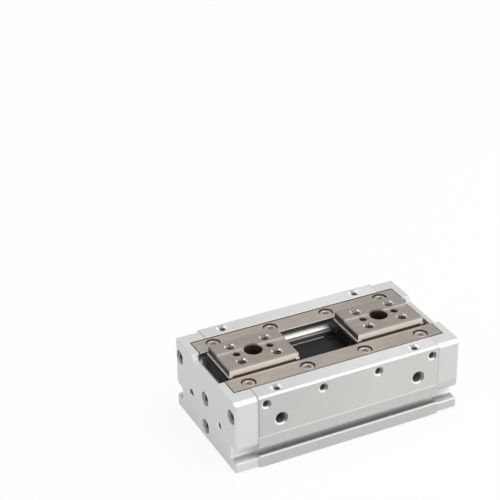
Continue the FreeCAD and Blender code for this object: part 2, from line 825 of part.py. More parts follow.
def make_pinion():
    """Involute teeth at the rack's pitch, with a hub above that runs under the cover."""
    count = int(SIZES["tooth_count"])
    pitch = pitch_radius.value
    base = pitch * math.cos(PRESSURE_ANGLE)
    tip = pitch + SIZES["tooth_module"]
    root = pitch - SIZES["tooth_module"] * 1.25
    start = max(base, root) + 0.02
    half_angle = math.pi / (2 * count) - SIZES["tooth_backlash"] / pitch
    edges = []
    for k in range(count):
        middle = -math.pi / 2 + 2 * math.pi * k / count
        after = middle + 2 * math.pi / count
        low = tooth_flank(middle, -1, base, start, tip, half_angle)
        high = tooth_flank(middle, 1, base, start, tip, half_angle)
        following = tooth_flank(after, -1, base, start, tip, half_angle)
        crown = FreeCAD.Vector(tip * math.cos(middle), tip * math.sin(middle), 0)
        bottom = middle + math.pi / count
        valley = FreeCAD.Vector(root * math.cos(bottom), root * math.sin(bottom), 0)
        edges.append(curve(low))
        edges.append(Part.Arc(low[-1], crown, high[-1]).toShape())
        edges.append(curve(high[::-1]))
        edges.append(Part.Arc(high[0], valley, following[0]).toShape())
    outline_wire = Part.Wire(Part.__sortEdges__(edges))
    teeth = doc.addObject("Part::Feature", "pinion_teeth")
    teeth.Shape = Part.Face(outline_wire).extrude(FreeCAD.Vector(0, 0, SIZES["pinion_width"]))
    place(teeth, 0, 0, pinion_bottom)
    hub = rod("pinion_hub", S["pinion_hub_radius"], S["pinion_hub_height"], "+z", 0, 0, pinion_top)
    bore = rod("pinion_bore", S["pin_radius"] + S["pin_play"],
               S["pinion_width"] + S["pinion_hub_height"], "+z", 0, 0, pinion_bottom)
    node("pinion", cut("pinion_solid", fused("pinion_blank", [teeth, hub]), [bore]))


def make_pinion_supports():
    """The pin that the pinion turns on, the round cover over it, and the clip that holds the cover."""
    pin_top = pinion_cover_top - S["pin_play"]
    pin = rod("pin_rod", S["pin_radius"], pin_top - S["pin_bottom"], "+z", 0, 0, S["pin_bottom"])
    centre = rod("pin_centre", S["pin_radius"] / 2, S["pin_radius"], "-z", 0, 0, pin_top)
    node("pinion_pin", cut("pin_solid", pin, [centre]))
    disc = rod("cover_disc", S["pinion_cover_radius"], S["pinion_cover_thickness"], "+z", 0, 0,
               pinion_cover_bottom)
    hole = rod("cover_disc_hole", S["pin_radius"] + S["screw_fit"], S["pinion_cover_thickness"],
               "+z", 0, 0, pinion_cover_bottom)
    node("pinion_cover", cut("cover_disc_solid", disc, [hole]))
    outer = rod("clip_outer", S["clip_radius"], S["clip_thickness"], "+z", 0, 0, pinion_cover_top)
    inner = rod("clip_inner", S["clip_radius"] - S["clip_width"], S["clip_thickness"], "+z", 0, 0,
                pinion_cover_top)
    gap = block("clip_gap", S["pinion_cover_radius"] / 2, S["clip_radius"] + over,
                -S["clip_width"], S["clip_width"],
                pinion_cover_top, pinion_cover_top + S["clip_thickness"])
    node("cover_clip", cut("clip_solid", outer, [inner, gap]))


def piston_outline():
    """Half of the piston's turned outline: distance from its end, radius."""
    waist = S["piston_waist"]
    end = S["piston_length"]
    head = S["head_length"]

    def grooves(at):
        return [
            (at(S["seal_land"]), head_radius),
            (at(S["seal_land"]), S["seal_root"]),
            (at(S["seal_land"] + S["seal_groove"]), S["seal_root"]),
            (at(S["seal_land"] + S["seal_groove"]), head_radius),
            (at(S["ring_land"]), head_radius),
            (at(S["ring_land"]), S["ring_root"]),
            (at(S["ring_land"] + S["ring_groove"]), S["ring_root"]),
            (at(S["ring_land"] + S["ring_groove"]), head_radius),
            (at(head), head_radius),
            (at(head), waist),
        ]

    near_end = grooves(lambda size: size)
    far_end = grooves(lambda size: end - size)[::-1]
    return [(0, 0), (0, head_radius)] + near_end + far_end + [(end, head_radius), (end, 0)]


def rack_gap(k):
    """One gap between rack teeth, straight-sided, in the front piston's flat."""
    slope = math.tan(PRESSURE_ANGLE)
    pitch = S["tooth_module"] * math.pi
    at_pitch = pitch / 4 + S["tooth_backlash"]
    root_half = at_pitch - (rack_root - pitch_radius) * slope
    mouth = S["tooth_module"] * 2
    mouth_half = at_pitch + mouth * slope
    middle = pitch * k
    gap = doc.addObject("Part::Wedge", "rack_gap_%d" % (k + SIZES["rack_teeth"]))
    for name, size in (
        ("Xmin", middle - root_half), ("Xmax", middle + root_half), ("X2min", middle - mouth_half),
        ("X2max", middle + mouth_half), ("Ymin", 0), ("Ymax", rack_root - pitch_radius + mouth),
        ("Zmin", -S["bore_radius"]), ("Zmax", S["bore_radius"]), ("Z2min", -S["bore_radius"]),
        ("Z2max", S["bore_radius"]),
    ):
        bind(gap, name, size)
    return place(gap, 0, -rack_root, S["bore_z"])


def make_pistons():
    """The front piston, which carries the left finger; the back one is the same piece turned round."""
    turned = doc.addObject("Part::Revolution", "piston_turned")
    turned.Source = outline("piston_section", piston_outline(), SECTION_XZ,
                            -piston_far, -S["bore_y"], S["bore_z"])
    turned.Axis = FreeCAD.Vector(1, 0, 0)
    turned.Base = FreeCAD.Vector(0, -S["bore_y"].value, S["bore_z"].value)
    turned.Angle = 360
    turned.Solid = True
    pitch = S["tooth_module"] * math.pi
    first = pitch * (0.5 - S["rack_teeth"])
    last = pitch * 1.5
    middle = -S["joint_y"]
    play = S["joint_play"]
    tools = [
        block("rack_flat", first, last, -rack_tip, -rack_tip + S["bore_radius"],
              S["bore_z"] - S["bore_radius"], S["bore_z"] + S["bore_radius"]),
        block("piston_joint_pocket", -S["joint_x"] - S["joint_length"] / 2 - play,
              -S["joint_x"] + S["joint_length"] / 2 + play, middle - S["joint_width"] / 2 - play,
              middle + S["joint_width"] / 2 + play, joint_bottom - play, S["bore_z"] + S["bore_radius"]),
    ]
    tools += [rack_gap(k) for k in range(1 - int(SIZES["rack_teeth"]), 2)]
    front = node("piston_front", cut("piston_solid", turned, tools))
    across = mirrored("piston_across", front, (0, 1, 0))
    node("piston_back", mirrored("piston_solid_back", across, (1, 0, 0)))


def ring(name, start, width, root, outer):
    play = S["groove_play"]
    first = start + play
    body = rod(name + "_outer", outer, width - play * 2, "+x", first, -S["bore_y"], S["bore_z"])
    hole = rod(name + "_inner", root + play, width - play * 2, "+x", first, -S["bore_y"], S["bore_z"])
    return cut(name, body, [hole])


def make_piston_rings():
    """Seals at both ends of each piston, a magnet ring in one head and a wear ring in the other."""
    left_end = -piston_far
    right_end = S["piston_length"] - piston_far
    seals = [
        ring("seal_left", left_end + S["seal_land"], S["seal_groove"], S["seal_root"],
             S["seal_radius"]),
        ring("seal_right", right_end - S["seal_land"] - S["seal_groove"], S["seal_groove"],
             S["seal_root"], S["seal_radius"]),
    ]
    magnet = ring("magnet", left_end + S["ring_land"], S["ring_groove"], S["ring_root"], head_radius)
    wear = ring("wear", right_end - S["ring_land"] - S["ring_groove"], S["ring_groove"], S["ring_root"],
                S["seal_radius"])
    for name, item in (
        ("piston_seals", group("seals", seals)),
        ("piston_magnet", magnet),
        ("wear_ring", wear),
    ):
        front = node(name + "_front", item)
        across = mirrored(name + "_across", front, (0, 1, 0))
        node(name + "_back", mirrored(name + "_turned", across, (1, 0, 0)))


def make_joints():
    """Square steel posts that carry each finger from its piston."""
    half_x = S["joint_length"] / 2
    half_y = S["joint_width"] / 2
    for end, sign in (("left", -1), ("right", 1)):
        x = S["joint_x"] * sign
        y = S["joint_y"] * sign
        post = block("post_" + end, x - half_x, x + half_x, y - half_y, y + half_y,
                     joint_bottom, joint_top)
        node("joint_" + end, post)


# Fingers

def finger_section():
    width = S["finger_half_width"] * 2
    high = finger_back_top
    step = S["finger_half_width"] + S["finger_step_y"]
    edge = S["finger_edge"]
    return [
        (0, finger_bottom),
        (width, finger_bottom),
        (width, high - edge),
        (width - edge, high),
        (step, high),
        (step, finger_front_top),
        (edge, finger_front_top),
        (0, finger_front_top - edge),
    ]


def finger_holes(end, middle):
    """The large middle hole, four tapped holes and two dowel holes in a finger's top."""
    top = finger_back_top
    tools = [
        rod("finger_hole_" + end, S["finger_hole_radius"], top - finger_bottom, "-z", middle, 0, top),
    ]
    for i, (a, b) in enumerate(((-1, -1), (-1, 1), (1, -1), (1, 1))):
        level = top if b > 0 else finger_front_top
        tools += tapped("finger_thread_%s_%d" % (end, i), S["finger_thread_core"],
                        S["finger_thread_lead"], S["finger_thread_depth"], "-z",
                        middle + S["finger_thread_x"] * a, S["finger_thread_y"] * b, level)
    for i, a in enumerate((-1, 1)):
        tools.append(rod("finger_pin_%s_%d" % (end, i), S["finger_pin_radius"],
                         S["finger_thread_depth"], "-z", middle + S["finger_pin_x"] * a, 0, top))
    return tools


def make_finger(end, sign):
    middle = S["finger_x"] * sign
    start = middle - S["finger_half_length"]
    length = S["finger_half_length"] * 2
    section = outline("finger_section_" + end, finger_section(), SECTION_YZ,
                      start, -S["finger_half_width"])
    bar = extruded("finger_bar_" + end, section, length)
    high = finger_front_top.value
    bevelled = edge_feature("Part::Chamfer", "finger_bevelled_" + end, bar, S["finger_end_edge"],
                            lambda at, way: abs(way.y) > 0.9 and at.z > high - 0.01)
    play = S["joint_play"]
    x = S["joint_x"] * sign
    y = S["joint_y"] * sign
    tools = finger_holes(end, middle)
    tools += [
        vee_cut("finger_vee_front_" + end, start, length, -S["finger_half_width"]),
        vee_cut("finger_vee_back_" + end, start, length, S["finger_half_width"]),
        block("finger_pocket_" + end, x - S["joint_length"] / 2 - play, x + S["joint_length"] / 2 + play,
              y - S["joint_width"] / 2 - play, y + S["joint_width"] / 2 + play,
              finger_bottom - over, joint_top + play),
    ]
    for side, way in (("outer", -1), ("inner", 1)):
        for i, b in enumerate((-1, 1)):
            inward = "+x" if way < 0 else "-x"
            tools.append(rod("stopper_thread_%s_%s_%d" % (end, side, i),
                             S["stopper_screw_radius"] + S["screw_fit"], S["stopper_screw_length"],
                             inward, middle + S["finger_half_length"] * way,
                             S["stopper_screw_y"] * b, stopper_screw_z))
    node("finger_" + end, cut("finger_solid_" + end, bevelled, tools))


def stopper_section():
    """Half of a roller stopper's outline, with the ear that closes the raceway."""
    half = S["plate_half_width"]
    bottom = stopper_bottom
    top = stopper_bottom + S["stopper_height"]
    return [
        (0, bottom),
        (half, bottom),
        (half, vee_z - S["ear_half_root"]),
        (S["ear_reach"], vee_z - S["ear_half_tip"]),
        (S["ear_reach"], vee_z + S["ear_half_tip"]),
        (half, vee_z + S["ear_half_root"]),
        (half, top),
        (0, top),
    ]


def shim_plate(name, x):
    """The thin bright plate between finger and stopper, with a tab folded round each side."""
    half = S["plate_half_width"]
    wall = S["finger_half_width"]
    lip = S["tab_thickness"]
    bottom = stopper_bottom + S["stopper_lift"]
    tab_bottom = shim_top - S["tab_height"]
    pieces = [block(name + "_plate", x, x + S["shim_thickness"], -half, half, bottom, shim_top)]
    for side, sign in (("front", -1), ("back", 1)):
        first, second = (wall, wall + lip) if sign > 0 else (-wall - lip, -wall)
        inner, outer = (half, wall + lip) if sign > 0 else (-wall - lip, -half)
        pieces.append(block("%s_tab_%s" % (name, side), x - S["tab_length"], x + S["shim_thickness"],
                            first, second, tab_bottom, shim_top))
        pieces.append(block("%s_fold_%s" % (name, side), x, x + S["shim_thickness"],
                            inner, outer, tab_bottom, shim_top))
    plate = fused(name + "_blank", pieces)
    holes = [rod("%s_hole_%d" % (name, i), S["stopper_screw_radius"] + S["slot_play"] / 3,
                 S["shim_thickness"], "+x", x, S["stopper_screw_y"] * b, stopper_screw_z)
             for i, b in enumerate((-1, 1))]
    return cut(name, plate, holes)


def stopper_plate(name, x):
    half = extruded(name + "_half", outline(name + "_section", stopper_section(), SECTION_YZ, x),
                    S["stopper_thickness"])
    holes = []
    for i, b in enumerate((-1, 1)):
        y = S["stopper_screw_y"] * b
        holes.append(rod("%s_hole_%d" % (name, i), S["stopper_screw_radius"] + S["slot_play"] / 3,
                         S["stopper_thickness"], "+x", x, y, stopper_screw_z))
        holes.append(rod("%s_sink_%d" % (name, i), S["stopper_screw_head"] + S["slot_play"] / 3,
                         S["stopper_screw_head_height"] + S["joint_play"], "-x",
                         x + S["stopper_thickness"], y, stopper_screw_z))
    return cut(name, both_sides(name + "_blank", half), holes)


def make_finger_ends(end, sign):
    """Shims, stoppers and their screws at both ends of one finger; the far end mirrors the near one."""
    middle = S["finger_x"] * sign
    shim = shim_plate("shim_" + end, S["finger_half_length"])
    stopper = stopper_plate("stopper_" + end, plate_start)
    seat = plate_start + S["stopper_thickness"] - S["stopper_screw_head_height"] - S["joint_play"]
    screws = [socket_screw("stopper_screw_%s_%d" % (end, i), S["stopper_screw_head"],
                           S["stopper_screw_head_height"], S["stopper_screw_radius"],
                           S["stopper_screw_length"], "-x", seat, S["stopper_screw_y"] * b,
                           stopper_screw_z)
              for i, b in enumerate((-1, 1))]
    for name, items in (
        ("end_shims", [shim]),
        ("roller_stoppers", [stopper]),
        ("stopper_screws", screws),
    ):
        copies = [mirrored("%s_far" % item.Name, item, (1, 0, 0)) for item in items]
        pair = group("%s_pair_%s" % (name, end), items + copies)
        place(pair, middle, 0, 0)
        node("%s_%s" % (name, end), pair)


def make_rollers(end, sign):
    """Crossed rollers in both raceways: each lies at forty-five degrees, the next one the other way."""
    rollers = []
    gap_middle = (S["rail_inner"] + S["finger_half_width"]) / 2
    count = int(SIZES["roller_count"])
    reach = S["roller_length"] / 2 * math.sqrt(0.5)
    for side, face in ((-1, "front"), (1, "back")):
        for i in range(count):
            lean = 1 if i % 2 == 0 else -1
            x = S["finger_x"] * sign + S["roller_pitch"] * (i - (count - 1) / 2)
            roller = doc.addObject("Part::Cylinder", "roller_%s_%s_%d" % (end, face, i))
            bind(roller, "Radius", S["roller_radius"])
            bind(roller, "Height", S["roller_length"])
            place(roller, x, gap_middle * side + reach * lean, vee_z - reach,
                  FreeCAD.Rotation(FreeCAD.Vector(1, 0, 0), 45 * lean))
            rollers.append(roller)
    node("rollers_" + end, group("roller_set_" + end, rollers))


def check_and_write():
    """Stops at any failed object, then writes one file for each sub-part."""
    doc.recompute()
    for item in doc.Objects:
        if "Invalid" in item.State or "Error" in item.State:
            raise RuntimeError("%s failed: %s" % (item.Name, item.State))
    os.makedirs("parts", exist_ok=True)
    for item in nodes:
        if item.Shape.isNull() or not item.Shape.isValid():
            raise RuntimeError("%s has no valid shape" % item.Label)
    for item in nodes:
        item.Shape.exportStep("parts/%s.step" % item.Label)
        print("%-24s %2d solids %10.2f mm3" % (item.Label, len(item.Shape.Solids), item.Shape.Volume))


make_body()
make_caps()
make_cap_seals()
make_cap_screws()
make_rails()
make_rail_screws()
make_channel_cover()
make_pinion()
make_pinion_supports()
make_pistons()
make_piston_rings()
make_joints()
for end, sign in (("left", -1), ("right", 1)):
    make_finger(end, sign)
    make_finger_ends(end, sign)
    make_rollers(end, sign)
check_and_write()
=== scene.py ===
# %% [markdown]
# A low, wide-opening air gripper, dressed for its picture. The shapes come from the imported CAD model, which
# is loaded as a fixed frame. What CAD leaves plain is made here: screws with hexagon sockets, thread turns
# in the tapped holes, softly broken edges, and finishes for anodised aluminium, ground steel and blackened
# plates.

# %% Load the frame
import json
import math

import bmesh
import bpy
import numpy as np
from mathutils import Matrix, Vector


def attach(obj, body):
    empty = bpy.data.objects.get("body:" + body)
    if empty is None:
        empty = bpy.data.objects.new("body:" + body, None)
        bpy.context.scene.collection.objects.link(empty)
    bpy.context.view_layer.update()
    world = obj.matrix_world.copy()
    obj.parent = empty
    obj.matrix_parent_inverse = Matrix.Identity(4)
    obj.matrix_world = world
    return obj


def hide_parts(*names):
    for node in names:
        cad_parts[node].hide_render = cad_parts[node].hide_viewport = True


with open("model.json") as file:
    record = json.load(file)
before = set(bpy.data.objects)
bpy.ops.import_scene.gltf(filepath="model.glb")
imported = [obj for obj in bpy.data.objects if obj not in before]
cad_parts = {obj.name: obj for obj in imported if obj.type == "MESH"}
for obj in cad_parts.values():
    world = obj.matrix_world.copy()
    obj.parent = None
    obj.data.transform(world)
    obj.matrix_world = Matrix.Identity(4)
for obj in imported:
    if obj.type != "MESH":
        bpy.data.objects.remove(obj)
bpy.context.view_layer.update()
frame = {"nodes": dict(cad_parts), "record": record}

MM = 0.001
print("nodes:", len(frame["nodes"]))

# %% [markdown]
# The camera comes first, because it decides what detail will show. The picture was taken with a long lens
# from the front left and above, so lines that run away from us hardly converge. A camera in Blender looks
# along its own minus Z, with Y up, so its matrix is built from the directions to the right, up and
# backwards.

# %% Camera
IMAGE_SIZE = 500
FOCAL_PIXELS = 1559.9
SENSOR_WIDTH = 36.0
CAMERA_PLACE = (-239.0, -437.0, 340.5)
CAMERA_FORWARD = (0.38246, 0.78963, -0.47979)
CAMERA_RIGHT = (0.89654, -0.44275, -0.0140)


def look(place, forward, right, focal_pixels):
    """A camera whose columns are right, up = right x forward, and back = -forward."""
    forward = Vector(forward).normalized()
    right = (Vector(right) - forward * Vector(right).dot(forward)).normalized()
    up = right.cross(forward)
    data = bpy.data.cameras.new("picture_camera")
    data.sensor_width = SENSOR_WIDTH
    data.lens = focal_pixels * SENSOR_WIDTH / IMAGE_SIZE
    data.clip_start = 0.01
    camera = bpy.data.objects.new("picture_camera", data)
    turn = Matrix((right, up, -forward)).transposed()
    camera.matrix_world = Matrix.Translation(Vector(place) * MM) @ turn.to_4x4()
    bpy.context.scene.collection.objects.link(camera)
    bpy.context.scene.camera = camera
    return camera


camera = look(CAMERA_PLACE, CAMERA_FORWARD, CAMERA_RIGHT, FOCAL_PIXELS)
print("lens:", round(camera.data.lens, 1), "mm")

# %% [markdown]
# A finish is a small graph of shader nodes. Written node by node it's long and hard to read, so two classes
# hide the wiring. The first, a Signal, is the number that a socket gives, and arithmetic on it adds Math
# nodes. Its soft steps are for places on the part: a rise, a fall, or a rise and a fall with a plateau
# within.

# %% Numbers from sockets
class Signal:
    """The number from one socket: sums, differences, products and powers of it add Math nodes."""

    def __init__(self, finish, socket):
        self.finish = finish
        self.socket = socket

    def maths(self, operation, *others):
        """A Math node on this number and the others."""
        return self.finish.node("ShaderNodeMath", {"operation": operation}, (self, *others))

    def __add__(self, other):
        return self.maths("ADD", other)

    def __sub__(self, other):
        return self.maths("SUBTRACT", other)

    def __rsub__(self, other):
        return self.finish.node("ShaderNodeMath", {"operation": "SUBTRACT"}, (other, self))

    def __mul__(self, other):
        return self.maths("MULTIPLY", other)

    def __pow__(self, other):
        return self.maths("POWER", other)

    __radd__ = __add__
    __rmul__ = __mul__

    def size(self):
        """The number without its sign."""
        return self.maths("ABSOLUTE")

    def step(self, low, high, before, after):
        """A smooth step 3 t t - 2 t t t, where t is 0 at low and 1 at high."""
        values = {0: self, 1: low, 2: high, 3: before, 4: after}
        return self.finish.node("ShaderNodeMapRange", {"interpolation_type": "SMOOTHSTEP"}, values)

    def rise(self, low, high):
        """0 below low and 1 above high."""
        return self.step(low, high, 0.0, 1.0)

    def fall(self, low, high):
        """1 below low and 0 above high."""
        return self.step(low, high, 1.0, 0.0)

    def within(self, start, full, fade, end):
        """1 from full to fade, and 0 before start and after end."""
        return self.rise(start, full) * self.fall(fade, end)


def joined(shades):
    """The strongest of several shades."""
    total = shades[0]
    for shade in shades[1:]:
        total = total.maths("MAXIMUM", shade)
    return total


def distance(first, second):
    """The root of the sum of two squares."""
    return (first ** 2.0 + second ** 2.0) ** 0.5


print("soft steps: rise, fall and within")

# %% [markdown]
# The second class, a Finish, is one material. It makes any node, and it holds what several finishes share:
# noise, mixing and relief. It also measures the part in millimetres. Distance along and across is taken
# from the middle, so what a finish says of one corner holds for its mirror images too, and height is taken
# from the table.

# %% One material
class Finish:
    """One material: its Principled shader, and the place on the piece that its patterns read."""

    def __init__(self, name):
        self.material = bpy.data.materials.new(name)
        self.material.use_nodes = True
        self.tree = self.material.node_tree
        self.shader = self.tree.nodes["Principled BSDF"]
        self.place = self.node("ShaderNodeTexCoord", out="Object")
        self.axes = [self.node("ShaderNodeSeparateXYZ", values=[self.place], out=axis) for axis in "XYZ"]
        self.along = self.axes[0].size() * (1 / MM)
        self.across = self.axes[1].size() * (1 / MM)
        self.high = self.axes[2] * (1 / MM)

    def node(self, kind, settings=None, values=(), out=0):
        """Any node: its settings first, then the value or link of each socket."""
        made = self.tree.nodes.new(kind)
        for key, value in (settings or {}).items():
            setattr(made, key, value)
        for key, value in values.items() if isinstance(values, dict) else enumerate(values):
            if isinstance(value, Signal):
                self.tree.links.new(value.socket, made.inputs[key])
            else:
                made.inputs[key].default_value = value
        return Signal(self, made.outputs[out])

    def noise(self, stretch, detail=3.0, roughness=0.55, seed=0.0):
        """Noise of this many waves a metre along X, Y and Z; the seed shifts the place that it reads."""
        moved = self.node("ShaderNodeVectorMath", {"operation": "MULTIPLY_ADD"},
                          [self.place, stretch, (seed, seed * 1.7, seed * 0.6)])
        values = {"Vector": moved, "Scale": 1.0, "Detail": detail, "Roughness": roughness}
        return self.node("ShaderNodeTexNoise", values=values)

    def mix(self, amount, first, second):
        """The first colour where the amount is 0, and the second where it's 1."""
        return self.node("ShaderNodeMix", {"data_type": "RGBA"}, {0: amount, 6: first, 7: second}, out=2)

    def set(self, **values):
        """Values or links for the shader's own sockets."""
        for name, value in values.items():
            socket = self.shader.inputs[name.replace("_", " ")]
            if isinstance(value, Signal):
                self.tree.links.new(value.socket, socket)
            else:
                socket.default_value = value
        return self

    def bump(self, height, strength, depth):
        """Relief of this depth in metres, as the shader's normal."""
        values = {"Strength": strength, "Distance": depth, "Height": height}
        return self.set(Normal=self.node("ShaderNodeBump", values=values))


def grey(value, warmth=0.0):
    """A grey that is a little warmer (positive) or cooler (negative)."""
    return (value * (1 + warmth), value, value * (1 - warmth), 1.0)


print("a warm grey:", grey(0.5, 0.1))

# %% [markdown]
# Shades, thread turns and screws all need to know where the holes are, so the faces and the rows of holes
# are named once, in millimetres. Each row has one entry that stands for its mirror images. The fingers'
# holes are measured from the middle of a finger.

# %% Where the holes are
SIDE_FACE = 26.2
TOP_FACE = 30.6
END_FACE = 46.75
FINGER_X = 26.65
FINGER_TOP = 33.1
STRIP_TOP = 33.6

M3_CORE = 1.25
M3_CONE = 1.95
M4_CORE = 1.65
M5_CORE = 2.1
M5_CONE = 2.75
TOP_CONE = 2.25
SIDE_ROW_X = (11.5, 34.5)
SIDE_ROW_Z = 27.0
PORT_XZ = (28.6, 19.2)
TOP_XY = (28.7, 22.6)
END_YZ = (12.0, 13.0)
BASE_XY = (28.0, 16.0)
CAP_SCREW_YZ = ((22.2, 23.05), (0.0, 17.5), (0.0, 5.3))
CAP_BORE = 2.9
FINGER_THREAD_XY = (7.2, 5.1)
FINGER_PIN_X = 6.8
print("side holes at:", SIDE_ROW_X, "and ports at:", PORT_XZ[0])

# %% [markdown]
# Light that enters a deep hole hardly comes out again, and the cone at its mouth is bright on one flank and
# dark on the other. The lamps alone leave holes this small too pale, because the real ones run deeper and
# are dull inside. So both are written into the colour, as a distance from the hole's axis.

# %% Shade in a hole and on its cone
def from_axis(f, axes, spot):
    """Distance beside and above a hole's middle, and along its axis; axes names these three, such as XZY."""
    places = {"X": f.along, "Y": f.across, "Z": f.high}
    side, up, deep = (places[axis] for axis in axes)
    return side - spot[0], up - spot[1], deep


def hole_shade(f, axes, spot, radius, mouth, floor):
    """1 within a radius of a hole's axis and from its floor to a little below its mouth."""
    beside, above, deep = from_axis(f, axes, spot)
    near = distance(beside, above).fall(radius + 0.02, radius + 0.12)
    return near * deep.within(floor - 0.3, floor, mouth - 1.3, mouth - 0.4)


def countersink(f, axes, spot, core, mouth_radius, mouth):
    """1 on the cone at a hole's mouth, and how far beside and above the hole's middle a point is."""
    beside, above, deep = from_axis(f, axes, spot)
    away = distance(beside, above)
    ring = away.within(core - 0.06, core + 0.02, mouth_radius - 0.06, mouth_radius + 0.02)
    return ring * deep.within(mouth - 0.6, mouth - 0.5, mouth - 0.03, mouth - 0.01), beside, above


print("cone in a side face: from", M3_CORE, "to", M3_CONE, "mm")

# %% [markdown]
# The body and caps are aluminium, extruded or milled, then blasted and clear anodised. Painted shade darkens
# the tapped holes, the counterbores of the cap screws, the narrow gap beside each rail, and the hollow below
# the channel cover, which its two slots open to view.

# %% Painted shade of the aluminium
END_SHADE_REACH = 0.9


def aluminium_shade(f):
    """Painted shade: 1 in the holes, the counterbores, the rail gaps and the hollow below the cover."""
    holes = [hole_shade(f, "XZY", (x, SIDE_ROW_Z), M3_CORE, SIDE_FACE, 20.5) for x in SIDE_ROW_X]
    holes += [hole_shade(f, "XZY", PORT_XZ, M5_CORE, SIDE_FACE, 20.0)]
    holes += [hole_shade(f, "XYZ", TOP_XY, M3_CORE, TOP_FACE, 25.5)]
    holes += [hole_shade(f, "YZX", END_YZ, M3_CORE, END_FACE + END_SHADE_REACH, 41.0)]
    holes += [hole_shade(f, "YZX", spot, CAP_BORE, END_FACE, 41.0) for spot in CAP_SCREW_YZ]
    rail_gap = f.across.within(18.55, 18.65, 19.02, 19.08) * f.high.within(29.0, 29.6, 30.3, 30.42)
    hollow = f.across.fall(9.6, 9.8) * f.high.within(5.0, 6.0, 24.02, 24.08)
    return joined([*holes, rail_gap * f.along.fall(43.7, 43.8), hollow * f.along.fall(30.0, 30.4)])


print("kinds of dark holes:", len(SIDE_ROW_X) + len(CAP_SCREW_YZ) + 3)

# %% [markdown]
# Fine lines make the edges of such a block crisp: each chamfer and each lip of the sensor grooves catches
# the front lamp, and a thin dark seam parts cap and body. A groove is dark behind its lip and bright again
# at its back wall. These lines are hardly a pixel wide in the picture, so rounding the edges alone loses
# them. They're drawn as bands of height and of distance across: the bright lines are painted highlights,
# the dark depth of a groove is painted shade, and the seam is a dark joint.

# %% Painted highlights and shade of the aluminium's edges and grooves
CAP_SEAM = 37.5


def on_caps(f):
    """1 on the end caps and 0 on the body between them."""
    return f.along.rise(CAP_SEAM - 0.01, CAP_SEAM + 0.01)


def groove_lights(f, cap):
    """Painted highlight on the back walls and painted shade deep in the sensor grooves, on the body and on
    the caps.
    """
    groove = f.across.rise(20.3, 20.4) * f.high.within(4.6, 4.7, 7.0, 8.2) * (1 - cap)
    cap_groove = f.across.within(20.9, 21.0, 25.6, 25.75) * f.high.within(4.5, 4.6, 9.4, 9.6) * cap
    cap_groove = cap_groove * f.along.fall(46.55, 46.65)
    # back is painted highlight on the back walls, depth is painted shade deeper in.
    back = joined([groove * f.across.fall(21.4, 23.4), cap_groove * f.across.fall(21.3, 22.4)])
    depth = joined([groove * f.across.within(22.0, 25.0, 25.8, 25.9) * 0.62,
                    cap_groove * f.across.within(21.5, 22.5, 23.0, 24.8) * 0.4])
    return back, depth


def edge_highlights(f, cap):
    """Painted highlights on the chamfers and groove lips of the body and of the caps."""
    groove_lip = f.across.rise(25.8, 25.9) * f.high.within(4.9, 4.95, 5.6, 5.7)
    skirt_lip = f.across.rise(26.05, 26.12) * f.high.within(13.2, 13.26, 13.62, 13.68) * 0.25
    body_edge = f.across.rise(25.5, 25.58) * f.high.rise(29.95, 30.02)
    cap_lip = f.across.rise(25.35, 25.45) * f.high.within(4.05, 4.15, 4.8, 4.9)
    cap_edge = f.across.rise(24.4, 24.5) * f.high.rise(29.1, 29.2) * 0.6
    on_body = joined([groove_lip, skirt_lip, body_edge])
    return joined([on_body * (1 - cap), joined([cap_lip, cap_edge]) * cap])


def seam_line(f):
    """The dark line where a cap meets the body, above the skirt."""
    line = f.along.within(CAP_SEAM - 0.3, CAP_SEAM - 0.24, CAP_SEAM - 0.01, CAP_SEAM + 0.01)
    return line * f.high.rise(13.5, 13.6)


print("seam at:", CAP_SEAM)

# %% [markdown]
# The lamps stand to the upper right and in front, so the lower left flank of a side hole's cone is bright
# and the flank opposite is dark. A hole in the top is seen from above, and there the flanks to the left and
# right are bright. These flanks are painted into the colour: painted highlight on the bright ones and
# painted shade on the dark ones.

# %% Painted highlight and shade on the flanks of the cones
SIDEWAYS = 0.75
UPWARDS = 0.65


def cone_lights(f, right_half):
    """Painted highlight and shade on the flanks; a point leans away from the lamps by 0.75 beside + 0.65
    above.
    """
    cones = [countersink(f, "XZY", (x, SIDE_ROW_Z), M3_CORE, M3_CONE, SIDE_FACE) for x in SIDE_ROW_X]
    cones += [countersink(f, "XZY", PORT_XZ, M5_CORE, M5_CONE, SIDE_FACE)]
    to_right = right_half * 2 - 1
    leans = [(ring, beside * to_right * SIDEWAYS + above * UPWARDS) for ring, beside, above in cones]
    ring, beside, above = countersink(f, "YZX", END_YZ, M3_CORE, M3_CONE, END_FACE)
    leans += [(ring, beside * SIDEWAYS + above * UPWARDS)]
    ring, beside, above = countersink(f, "XYZ", TOP_XY, M3_CORE, TOP_CONE, TOP_FACE)
    lobes = (beside.size() - above.size() * 0.8).rise(-0.2, 0.3)
    # bright is painted highlight on the flanks, dark is painted shade.
    bright = joined([cone * lean.fall(-0.6, -0.1) for cone, lean in leans] + [ring * lobes])
    dark = joined([cone * lean.rise(-0.1, 0.5) for cone, lean in leans] + [ring * (1 - lobes) * 0.6])
    return bright, dark


print("bright flank of a side hole: down and to the left")

# %% [markdown]
# Blasting and clear anodising leave an even, pale satin: almost no mirror, a fine grain, very faint lines
# along the extrusion, and a trace of green. The colour could be one flat value, but a real anodised block
# is cloudy, so slow noise moves the tone by a few percent and fine noise roughens it. Painted light makes
# the tops and the left cap paler, and painted shade makes the left part and the foot of the block darker.
# Each mix lays one of these over the colour so far.

# %% Anodised aluminium
def greenish(value):
    """The faint green of a clear anodised extrusion."""
    return (value * 0.992, value, value * 0.955, 1.0)


